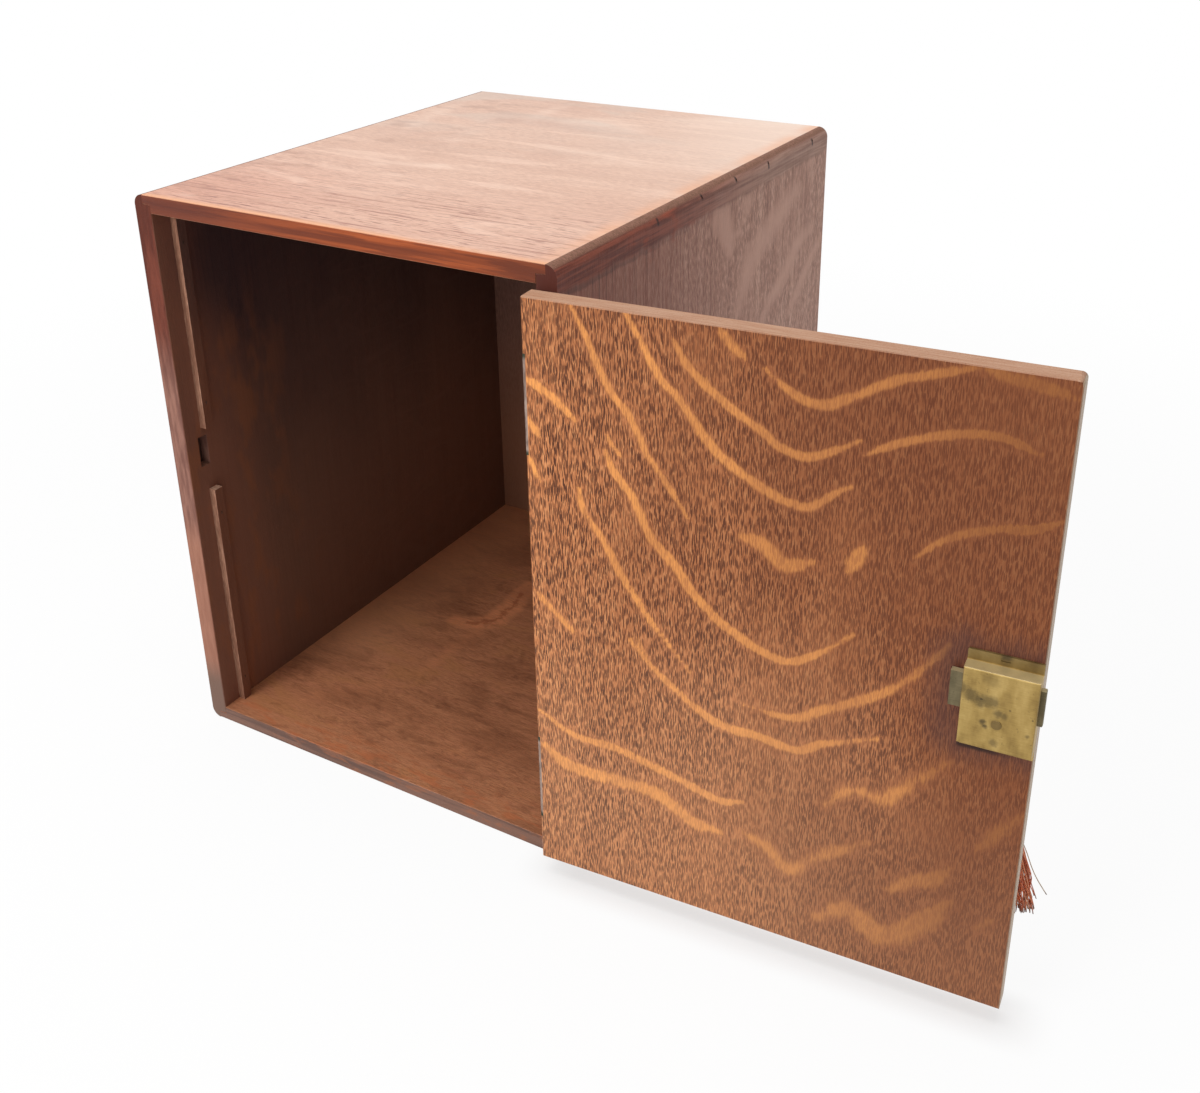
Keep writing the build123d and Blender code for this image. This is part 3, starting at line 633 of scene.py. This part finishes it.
def steel(name, bare, rusted, metallic):
    """Steel with the tone of its rust in patches."""
    metal = Finish(name)
    rust = metal.patches((0.6, 0.6, 0.6), 0.4, 0.65)
    grit = metal.mottle((3.0, 3.0, 3.0), 2, 0.5)
    colour = metal.blend(rust * 0.6, bare, rusted)
    return metal.surface(colour, 0.38 + rust * 0.25, grit, 0.03, metallic=metallic)


def thread():
    """Copper silk, each thread of its own tone, a few of them pale, with darkened ends."""
    yarn = Finish("copper_thread")
    end = yarn.attribute("along").ramp(0.93, 0.99)
    fuzz = yarn.mottle((1.6, 1.6, 0.5), 2, 0.5)
    colour = yarn.graded(
        yarn.attribute("tone") + (fuzz - 0.5) * 0.3, (0.0, 0.3, 0.7, 0.9, 0.97),
        ((188, 88, 50), (222, 114, 66), (240, 146, 94), (250, 190, 146), (206, 184, 154)),
    )
    colour = yarn.blend(end * 0.8, colour, (92, 66, 50))
    return yarn.surface(colour, 0.5, fuzz, 0.03)


hinge_leaves = ("upper_hinge_door_leaf", "lower_hinge_door_leaf")
lock_brass = brass("lock_brass", ((136, 110, 62), (168, 140, 82), (190, 162, 102)), lock_marks)
bolt_brass = brass("bolt_brass", ((84, 76, 56), (106, 96, 72), (130, 118, 90)))
rivet_brass = brass("rivet_brass", ((112, 92, 56), (126, 104, 64), (140, 118, 74)))
hinge_metal = worn_leaf()
dark_steel = steel("dark_steel", (92, 88, 84), (74, 52, 40), 0.9)
blackened_steel = steel("blackened_steel", (30, 22, 20), (40, 26, 20), 0.1)
copper_thread = thread()


def wear(node, *materials):
    """Give a piece its materials."""
    node.data.materials.clear()
    for material in materials:
        node.data.materials.append(material)


slot_finish = {"oak": inner_oak, "brass": lock_brass, "steel": dark_steel, "thread": copper_thread}
own_finish = {
    "upper_stop_strip": strip_oak, "lower_stop_strip": strip_oak, "lock_bolt": bolt_brass,
    "lock_drill_pin": rivet_brass, "joint_pins": blackened_steel,
}
for leaf in hinge_leaves:
    own_finish[leaf] = own_finish[leaf.replace("door", "case")] = hinge_metal
for part in frame["record"]["subparts"]:
    wear(nodes[part["node"]], own_finish.get(part["node"], slot_finish[part["material_slot"]]))


# Figured boards: a copy of a board's mesh, cut finely on one face for its ray flecks


weld_gap = 0.001 * mm
worn_radius = 0.6 * mm
shortest_worn_edge = 5 * mm


def cut_in_rows(board, faces, direction, spacing):
    """Cut faces into rows across a direction, each cut made only in what lies past the one before."""
    places = [v.co.dot(direction) for f in faces for v in f.verts]
    finished, rest = [], list(faces)
    for place in np.arange(min(places) + spacing, max(places), spacing):
        touched = rest + list({e for f in rest for e in f.edges} | {v for f in rest for v in f.verts})
        cut = bmesh.ops.bisect_plane(
            board, geom=touched, dist=weld_gap, plane_co=direction * place, plane_no=direction
        )
        faces_now = [g for g in cut["geom"] if isinstance(g, bmesh.types.BMFace)]
        rest = [f for f in faces_now if f.calc_center_median().dot(direction) > place]
        finished += [f for f in faces_now if f.calc_center_median().dot(direction) <= place]
    return finished + rest


def at_front(edge):
    """Whether an edge of a case board lies in its front face."""
    return all(v.co.y < front + 0.01 * mm for v in edge.verts)


def figured_copy(node, normal, along, spacing, worn_front):
    """A copy of a board whose face towards normal is cut in squares, with its front edges worn or not."""
    board = bmesh.new()
    board.from_mesh(nodes[node].data)
    bmesh.ops.remove_doubles(board, verts=board.verts, dist=weld_gap)
    bmesh.ops.dissolve_limit(board, angle_limit=math.radians(1), verts=board.verts, edges=board.edges)
    if worn_front:
        edges = [e for e in board.edges if e.calc_length() > shortest_worn_edge and at_front(e)]
        bmesh.ops.bevel(board, geom=edges, offset=worn_radius, segments=3, profile=0.5, affect="EDGES")
    furthest = max(v.co.dot(normal) for v in board.verts)
    faces = [
        f for f in board.faces
        if f.normal.dot(normal) > 0.99 and f.calc_center_median().dot(normal) > furthest - 0.1 * mm
    ]
    faces = cut_in_rows(board, faces, normal.cross(along), spacing)
    cut_in_rows(board, faces, along, spacing)
    bmesh.ops.triangulate(board, faces=board.faces)
    mesh = bpy.data.meshes.new(node + "_wood")
    board.to_mesh(mesh)
    board.free()
    return stand(node + "_wood", mesh)


def smooth_line(points, steps=10):
    """Points on a smooth curve through the given ones."""
    given = np.array(points)
    ends = np.vstack([2 * given[0] - given[1], given, 2 * given[-1] - given[-2]])
    line = []
    for a, b, c, d in zip(ends, ends[1:], ends[2:], ends[3:]):
        for t in np.arange(steps) / steps:
            bend = (2 * a - 5 * b + 4 * c - d) * t**2 + (3 * b - a - 3 * c + d) * t**3
            line.append(0.5 * (2 * b + (c - a) * t + bend))
    return np.array(line + [given[-1]])


def mark_flecks(board, flecks, normal, face_place, slack=0.5 * mm):
    """Store how deep each vertex of a board's face lies in a ray fleck, 1 on a fleck's middle line.

    Each fleck is its width in millimetres, its strength, and the photograph's pixels along it.
    """
    places = np.array([v.co for v in board.data.vertices])
    strength = np.zeros(len(places))
    on_face = np.abs(places @ np.array(normal) - face_place) < slack
    for width, most, *pixels in flecks:
        line = smooth_line([seen_on_plane(p, normal * face_place, normal) for p in pixels])
        swelling = np.sin(math.pi * np.clip(np.linspace(0, 1, len(line)), 0.03, 0.97))
        taper = 0.52 + 0.42 * swelling**0.5
        fade = np.clip(swelling * 3, 0.8, 1)
        gaps = np.linalg.norm(places[on_face][:, None, :] - line[None, :, :], axis=2)
        nearest = gaps.argmin(axis=1)
        half = width * mm / 2 * taper[nearest]
        depth = 1 - gaps.min(axis=1) / (2 * half)
        strength[on_face] = np.maximum(strength[on_face], most * fade[nearest] * np.clip(depth, 0, 1))
    attribute = board.data.attributes.new("fleck", "FLOAT", "POINT")
    attribute.data.foreach_set("value", strength.astype(np.float32))


door_flecks = [
    (4.5, 1, (571, 306), (589, 344), (606, 384), (631, 419), (646, 453), (667, 484), (688, 518)),
    (
        5.5, 1, (625, 313), (642, 344), (658, 375), (682, 403), (705, 438), (732, 466), (767, 491),
        (790, 503), (811, 507), (836, 493), (851, 487),
    ),
    (
        5, 1, (673, 340), (686, 363), (702, 382), (732, 409), (761, 430), (780, 447), (807, 457),
        (834, 451), (860, 441),
    ),
    (6.5, 0.8, (719, 327), (730, 344), (746, 359)),
    (
        5.5, 1, (765, 369), (786, 388), (807, 401), (828, 405), (847, 399), (900, 380), (950, 372),
        (975, 368),
    ),
    (8, 0.8, (985, 368), (1010, 377), (1040, 385), (1080, 400)),
    (5, 1, (865, 455), (900, 443), (950, 435), (1000, 437), (1040, 455)),
    (5, 1, (915, 558), (945, 540), (990, 530), (1030, 530), (1065, 522)),
    (5.5, 1, (525, 378), (550, 395), (575, 420)),
    (4.5, 0.9, (525, 415), (532, 425), (540, 437)),
    (4.5, 0.8, (528, 455), (534, 468), (540, 482)),
    (3, 0.9, (606, 434), (613, 446), (621, 457)),
    (5, 1, (579, 489), (583, 509), (602, 539), (621, 574), (650, 620), (690, 672)),
    (
        5.5, 1, (605, 451), (613, 470), (631, 495), (638, 510), (652, 539), (675, 566), (694, 595),
        (730, 630), (780, 660), (815, 655), (853, 635),
    ),
    (5, 0.9, (535, 590), (555, 612), (580, 638)),
    (
        5.5, 1, (630, 640), (660, 675), (700, 711), (725, 727), (757, 736), (796, 750), (823, 744),
        (877, 739),
    ),
    (5.5, 1, (540, 710), (575, 735), (620, 750), (680, 780), (719, 800), (742, 802)),
    (9, 1, (545, 745), (570, 765), (620, 782), (660, 795), (690, 820), (720, 833)),
    (6, 0.9, (744, 705), (792, 718), (823, 710), (863, 700), (900, 685), (935, 660), (950, 645)),
    (9, 1, (742, 537), (763, 545), (780, 562), (790, 566), (811, 562)),
    (8, 1, (849, 570), (858, 558), (866, 548)),
    (12, 0.75, (825, 804), (853, 790), (882, 799), (911, 784), (950, 763)),
    (15, 0.95, (817, 917), (845, 909), (872, 930), (890, 936), (922, 922), (948, 903)),
    (11, 0.8, (888, 890), (911, 882), (932, 880), (951, 869)),
    (10, 0.7, (974, 853), (1001, 832), (1030, 812)),
    (7, 0.5, (630, 628), (640, 645), (650, 662)),
    (11, 0.75, (740, 832), (765, 845), (788, 870), (815, 858), (867, 842)),
    (7, 0.5, (1000, 790), (1015, 782), (1032, 775)),
    (9, 0.65, (971, 930), (983, 925), (994, 919)),
    (34, 0.4, (846, 500), (850, 545), (846, 595)),
    (26, 0.35, (702, 352), (708, 372), (716, 392)),
    (22, 0.4, (905, 812), (913, 826), (920, 842)),
    (26, 0.3, (690, 470), (700, 482), (722, 494)),
]
top_flecks = [
    (16, 0.5, (459, 104), (432, 115), (408, 128)),
    (12, 0.5, (365, 164), (410, 164), (453, 166)),
    (26, 0.7, (575, 122), (605, 124), (637, 131)),
    (14, 0.5, (525, 122), (547, 112), (569, 104)),
    (22, 0.6, (702, 120), (760, 122), (805, 126)),
    (14, 0.4, (300, 186), (350, 190), (400, 196)),
    (16, 0.4, (560, 160), (610, 162), (660, 168)),
]
side_flecks = [
    (13, 1.2, (720, 196), (722, 214), (727, 234), (730, 250)),
    (9, 0.9, (718, 200), (716, 216), (716, 232)),
    (18, 0.8, (796, 190), (774, 223), (756, 251), (747, 273), (738, 309)),
    (11, 0.8, (812, 226), (797, 244), (785, 273), (771, 298), (762, 319)),
    (9, 0.8, (820, 238), (810, 259), (799, 287), (788, 312)),
    (7, 0.7, (814, 146), (811, 157), (807, 168)),
    (6, 0.7, (741, 231), (736, 235), (730, 239)),
    (14, 0.6, (750, 196), (748, 203), (746, 212)),
]
floor_flecks = [
    (
        14, 1.6, (530, 585), (520, 595), (513, 606), (505, 612), (497, 619), (486, 622), (470, 623),
        (456, 620),
    ),
    (13, 0.55, (492, 620), (470, 636), (445, 654), (420, 674)),
    (30, 0.35, (300, 700), (345, 690), (390, 686)),
    (34, 0.3, (430, 760), (470, 750), (510, 760)),
]


def dress_board(node, body, finish, normal, along, spacing, flecks, other_finish, other_way):
    """Stand a figured copy of a board for its node, with another finish on its faces another way."""
    board = figured_copy(node, normal, along, spacing, body == "case")
    mark_flecks(board, flecks, normal, reach(node, normal)[1])
    wear(board, finish, other_finish)
    for face in board.data.polygons:
        face.material_index = int(face.normal.dot(other_way) > 0.8)
    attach(board, body)
    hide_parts(node)


dress_board(
    "door_panel", "door", door_inner_oak, door_inward, up, 1.3 * mm, door_flecks,
    door_outer_oak, -door_inward,
)
dress_board("top_board", "case", top_oak, up, sideways, 3 * mm, top_flecks, top_edge_oak, forwards)
dress_board("right_side", "case", side_oak, sideways, up, 3 * mm, side_flecks, side_edge_oak, forwards)
dress_board("left_side", "case", far_side_oak, -sideways, up, 6 * mm, (), side_edge_oak, forwards)
dress_board("bottom_board", "case", floor_oak, up, sideways, 1.5 * mm, floor_flecks, floor_oak, forwards)


# Tassel: a twisted loop round the key's bow, a head covered in threads, its binding and frayed locks


class Recipe(Tree):
    """A tree of Geometry Nodes with its sizes as named inputs, which makes a plain mesh."""

    def __init__(self, title, **sizes):
        self.group = bpy.data.node_groups.new(title, "GeometryNodeTree")
        super().__init__(self.group)
        self.given = sizes
        kinds = {size: "Int" if isinstance(value, int) else "Float" for size, value in sizes.items()}
        for name, kind in {"Shape": "Geometry", "Mesh": "Geometry", **kinds}.items():
            way = "OUTPUT" if name == "Mesh" else "INPUT"
            self.group.interface.new_socket(name, in_out=way, socket_type="NodeSocket" + kind)
        entry = self.nodes.new("NodeGroupInput")
        self.shape = Value(self, entry.outputs["Shape"])
        self.sizes = [Value(self, entry.outputs[size]) for size in sizes]

    def chance(self, index, seed):
        """A number from 0 to 1 for each index, the same on every run."""
        return self.add("FunctionNodeRandomValue", {"ID": index, "Seed": seed}, 1, data_type="FLOAT")

    def resampled(self, mode, step):
        """The starting line with even points, as many as step for COUNT or that far apart for LENGTH."""
        inputs = {"Curve": self.shape, mode.title(): step}
        return self.add("GeometryNodeResampleCurve", inputs, mode=mode)

    def strands(self, line, count):
        """Copies of a line, with the number of each copy and how far each point lies along it."""
        inputs = {"Geometry": line, "Amount": count}
        copies = self.add("GeometryNodeDuplicateElements", inputs, domain="SPLINE")
        return copies, copies.outputs()[1], self.add("GeometryNodeSplineParameter")

    def moved(self, shape, position):
        return self.add("GeometryNodeSetPosition", {"Geometry": shape, "Position": position})

    def tubes(self, lines, thickness, tone, along, sides=4):
        """Round threads along lines, each with its own tone and the distance to its frayed end."""
        for name, value in (("tone", tone), ("along", along)):
            inputs = {"Geometry": lines, "Name": name, "Value": value}
            lines = self.add("GeometryNodeStoreNamedAttribute", inputs, data_type="FLOAT", domain="POINT")
        ring = self.add("GeometryNodeCurvePrimitiveCircle", {"Resolution": sides, "Radius": thickness / 2})
        return self.add("GeometryNodeCurveToMesh", {"Curve": lines, "Profile Curve": ring, "Fill Caps": True})

    def made(self, result, start):
        """The mesh of thread that the tree makes from a starting shape."""
        for kind, more in (
            ("SetShadeSmooth", {"Shade Smooth": True}), ("RealizeInstances", {}),
            ("SetMaterial", {"Material": copper_thread}),
        ):
            result = self.add("GeometryNode" + kind, {"Geometry": result, **more})
        self.add("NodeGroupOutput", {"Mesh": result})
        scene.collection.objects.link(start)
        modifier = start.modifiers.new("recipe", "NODES")
        modifier.node_group = self.group
        for socket in self.group.interface.items_tree:
            if socket.in_out == "INPUT" and socket.name in self.given:
                modifier[socket.identifier] = self.given[socket.name]
        bpy.context.view_layer.update()
        seen = bpy.context.evaluated_depsgraph_get()
        mesh = bpy.data.meshes.new_from_object(start.evaluated_get(seen), depsgraph=seen)
        bpy.data.objects.remove(start)
        return mesh


def line_object(name, points, smooth=False):
    """An open curve through points, or a smooth one that takes them as its control points."""
    curve = bpy.data.curves.new(name, "CURVE")
    curve.dimensions = "3D"
    spline = curve.splines.new("NURBS" if smooth else "POLY")
    spline.points.add(len(points) - 1)
    for point, place in zip(spline.points, points):
        point.co = (*place, 1)
    if smooth:
        spline.order_u = 3
        spline.use_endpoint_u = True
        curve.resolution_u = 24
    return bpy.data.objects.new(name, curve)


cord_diameter = 1.5 * mm
cord_pitch = 4.2 * mm
thread_size = 0.5 * mm
covering_thread = 0.62 * mm
loop_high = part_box("tassel_loop")[1]
head_low, head_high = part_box("tassel_head")
skirt_low, skirt_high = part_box("tassel_skirt")
loop_reach = reach("tassel_loop", door_along)
loop_radius = (loop_reach[1] - loop_reach[0] - cord_diameter) / 2
hang_height = loop_high.z - loop_radius - cord_diameter / 2
tassel_middle = (head_low + head_high) / 2
tassel_axis = Vector((tassel_middle.x, tassel_middle.y, 0))
photo_right = camera_turn @ sideways
to_photo_right = math.atan2(photo_right.y, photo_right.x)


def tassel_piece(name, mesh, node, place):
    """A mesh made about the tassel's own line, set at its place in place of its node."""
    mesh.transform(Matrix.Translation(place))
    piece = stand(name, mesh)
    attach(piece, "tassel")
    if node:
        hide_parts(node)
    return piece


def loop():
    """The doubled cord: its route goes up, over the bow's rim and down again."""
    rise = hang_height - head_high.z
    route = [
        tassel_axis + door_along * along + up * (hang_height + height) for along, height in (
            (-loop_radius, -rise), (-loop_radius, 0), (-loop_radius, loop_radius),
            (loop_radius, loop_radius), (loop_radius, 0), (loop_radius, -rise),
        )
    ]
    line = line_object("loop_route", route, smooth=True)
    path = [v.co.copy() for v in bpy.data.meshes.new_from_object(line).vertices]
    tree = Recipe("twisted_cord", Strands=3, Diameter=cord_diameter, Pitch=cord_pitch)
    strand_count, diameter, pitch = tree.sizes
    copies, index, share = tree.strands(tree.resampled("LENGTH", 0.5 * mm), strand_count)
    travelled = share.outputs()[1]
    angle = (travelled / pitch + index / strand_count) * math.tau
    normal = tree.add("GeometryNodeInputNormal")
    side = tree.vector("CROSS_PRODUCT", tree.add("GeometryNodeInputTangent"), normal)
    off_middle, strand_size = diameter * 0.235, diameter * 0.53
    places = tree.add("GeometryNodeInputPosition")
    for direction, share_of_turn in ((normal, angle.math("COSINE")), (side, angle.math("SINE"))):
        step = {0: direction, "Scale": share_of_turn * off_middle}
        places = tree.vector("ADD", places, tree.add("ShaderNodeVectorMath", step, operation="SCALE"))
    tone = tree.noise(places, (900.0,) * 3)
    tubes = tree.tubes(tree.moved(copies, places), strand_size, tone, 0.0, 8)
    piece = tassel_piece("tassel_cord", tree.made(tubes, line), "tassel_loop", Vector())


def head():
    """Threads drawn side by side over a round bead, from the cord's foot to the neck."""
    height = head_high.z - head_low.z
    outline = [(x * mm, 0, z * mm) for x, z in (
        (0.8, 0), (2.4, -0.2), (3.7, -1.2), (4.35, -2.7), (4.5, -4.6), (4.2, -7.0), (3.6, -9.6),
    )]
    outline.append((3.2 * mm, 0, -height))
    tree = Recipe("covered_bead", Threads=46, Thickness=covering_thread)
    count, thickness = tree.sizes
    copies, index, share = tree.strands(tree.resampled("COUNT", 16), count)
    uneven, twist = 0.05, 0.35
    angle = index / count * math.tau + (tree.chance(index, 3) - 0.5) * uneven + share * twist
    turn = {"Vector": tree.add("GeometryNodeInputPosition"), "Angle": angle}
    turned = tree.add("ShaderNodeVectorRotate", turn, rotation_type="Z_AXIS")
    tubes = tree.tubes(tree.moved(copies, turned), thickness, tree.chance(index, 4) * 0.85, 0.0, 5)
    mesh = tree.made(tubes, line_object("bead", outline))
    bead = bmesh.new()
    bead.from_mesh(mesh)
    inset = 0.15 * mm
    profile = [(0, 0, 0), *outline, (0, 0, -height)]
    ring = [bead.verts.new((max(x - inset, 0), 0, z - inset)) for x, _, z in profile]
    edges = [bead.edges.new(pair) for pair in zip(ring, ring[1:])]
    bmesh.ops.spin(bead, geom=ring + edges, axis=up, cent=(0, 0, 0), angle=math.tau, steps=24)
    bmesh.ops.remove_doubles(bead, verts=[v for v in bead.verts if v.is_valid], dist=weld_gap)
    bead.to_mesh(mesh)
    bead.free()
    tassel_piece("tassel_bead", mesh, "tassel_head", tassel_axis + up * head_high.z)


def binding():
    """Thread wound round the neck, reaching a little over the head and the skirt."""
    height = head_low.z - skirt_high.z
    overlap = 0.2 * mm
    tree = Recipe("wound_neck", Turns=5.0, Radius=3.7 * mm, Thickness=covering_thread)
    turns, radius, thickness = tree.sizes
    spiral = tree.add("GeometryNodeCurveSpiral", {
        "Resolution": 28, "Rotations": turns, "Start Radius": radius, "End Radius": radius,
        "Height": height + 2 * overlap,
    })
    tone = tree.noise(tree.add("GeometryNodeInputPosition"), (300.0,) * 3)
    tubes = tree.tubes(spiral, thickness, tone, 0.0, 6)
    mesh = tree.made(tubes, line_object("neck", ((0, 0, 0), (0, 0, height))))
    tassel_piece("tassel_whipping", mesh, "tassel_binding", tassel_axis + up * (skirt_high.z - overlap))


def skirt():
    """The loose threads in locks that spread and fray, the first towards the photograph's right."""
    tree = Recipe(
        "frayed_locks", Threads=290, Locks=7, Length=skirt_high.z - skirt_low.z, Neck=2.0 * mm,
        Spread=11.5 * mm, Lock=3.4 * mm, Thickness=thread_size, Seed=5,
    )
    count, locks, length, neck, spread, lock_size, thickness, seed = tree.sizes
    copies, index, share = tree.strands(tree.resampled("COUNT", 15), count)
    lock = (tree.chance(index, seed) * locks).math("FLOOR")
    free = lock.math("MINIMUM", 1.0)
    lock_angle = lock / locks * math.tau + (tree.chance(lock, seed + 1) - 0.5) * free * 0.45
    lock_angle = lock_angle + to_photo_right
    lock_reach = neck + spread * share * (1 - free * (0.25 + 0.2 * tree.chance(lock, seed + 2)))
    lock_length = 1.06 - free * (0.08 + 0.08 * tree.chance(lock, seed + 3))
    width = lock_size * (0.25 + 0.75 * share)
    tufts, gather, own_twist, waves = 4, 0.62, 3.0, 8.0
    gathered = share.ramp(0.68, 1.0) * gather
    tuft = (tree.chance(index, seed + 4) * tufts).math("FLOOR") * (math.tau / tufts)
    tuft = tuft + tree.chance(lock, seed + 5) * 6
    own_angle = tree.chance(index, seed + 6) * math.tau + share * own_twist
    own_reach = tree.chance(index, seed + 7).math("SQRT") * (1 - gathered)
    wave = share * 0.5 * mm
    phase = tree.chance(index, seed + 8) * math.tau
    outward, sideward = (
        width * (gathered * tuft.math(turn) + own_reach * own_angle.math(turn))
        + wave * (share * waves + phase).math(turn)
        for turn in ("COSINE", "SINE")
    )
    out = lock_reach + outward
    cosine, sine = lock_angle.math("COSINE"), lock_angle.math("SINE")
    fall = share * length * lock_length * (1.0 - tree.chance(index, seed + 9) ** 3.0 * 0.2)
    places = tree.joined(cosine * out - sine * sideward, sine * out + cosine * sideward, 0 - fall)
    tubes = tree.tubes(tree.moved(copies, places), thickness, tree.chance(index, seed + 10), share)
    mesh = tree.made(tubes, line_object("hank", ((0, 0, 0), (0, 0, -1))))
    tassel_piece("tassel_threads", mesh, "tassel_skirt", tassel_axis + up * skirt_high.z)


loose_thread = ((1025, 846), (1032, 869), (1039, 883), (1046.5, 894.5))


def stray():
    """One pale thread that has worked loose from the binding and stands away from the rest."""
    facing = camera_turn @ up
    facing.z = 0
    seen = [seen_on_plane(pixel, tassel_axis, facing.normalized()) for pixel in loose_thread]
    line = line_object("stray", [tassel_axis + up * skirt_high.z, *seen], smooth=True)
    tree = Recipe("loose_thread", Thickness=thread_size)
    along = tree.add("GeometryNodeSplineParameter")
    tubes = tree.tubes(tree.resampled("COUNT", 24), tree.sizes[0], 1.0, along, 5)
    tassel_piece("loose_thread", tree.made(tubes, line), None, Vector())


loop()
head()
binding()
skirt()
stray()


# Floor and light


white = paint((255, 255, 255))


def floor():
    """A wide white ground, shaded where the door stands close over it."""
    mesh = bpy.data.meshes.new("floor")
    size = 12.0
    mesh.from_pydata(
        [(-size, -size, 0), (size, -size, 0), (size, size, 0), (-size, size, 0)], [], [(0, 1, 2, 3)]
    )
    plane = stand("floor", mesh)
    plane.location.z = -0.1 * mm
    ground = Finish("floor")
    away = ground.vector("LENGTH", ground.place, output=1)
    through, along = (
        ground.vector("DOT_PRODUCT", ground.place, way, output=1) for way in (door_inward, door_along)
    )
    door_middle, free_edge = (door_outer_face + door_inner_face) / 2 / mm, door_free_edge / mm
    under_door = abs(through - door_middle).ramp(22, 3)
    under_door = under_door * along.band(hinge_mm - 20, hinge_mm + 20, free_edge - 5, free_edge + 30)
    share = 0.92 + 0.08 * away.ramp(400, 1000) - under_door * 0.4
    diffuse = ground.add("ShaderNodeBsdfDiffuse", {"Color": paint((240, 240, 240))})
    glow = ground.add("ShaderNodeEmission", {"Color": white, "Strength": 1.0})
    mixed = ground.add("ShaderNodeMixShader", {0: ground.seen() * share, 1: diffuse, 2: glow})
    ground.add("ShaderNodeOutputMaterial", {0: mixed})
    wear(plane, ground.material)


def lamp(name, place, aim, size, power):
    """A round lamp, size metres wide, aimed at a point."""
    data = bpy.data.lights.new(name, "AREA")
    data.shape = "DISK"
    data.size = size
    data.energy = power
    light = stand(name, data)
    light.location = place
    light.rotation_euler = (Vector(aim) - Vector(place)).to_track_quat("-Z", "Y").to_euler()


def world():
    """A white sky, which lights things less strongly than it shows."""
    sky = bpy.data.worlds.new("sky")
    sky.use_nodes = True
    tree = Tree(sky.node_tree)
    tree.nodes.clear()
    background = tree.add("ShaderNodeBackground", {"Color": white, "Strength": 0.45 + tree.seen() * 0.55})
    tree.add("ShaderNodeOutputWorld", {0: background})
    scene.world = sky


floor()
world()
middle = (0.1, 0.0, 0.17)
lamp("overhead", (0.0, -0.2, 1.9), middle, 1.4, 14.0)
lamp("front_left", (-0.5, -1.75, 0.95), middle, 1.0, 22.0)
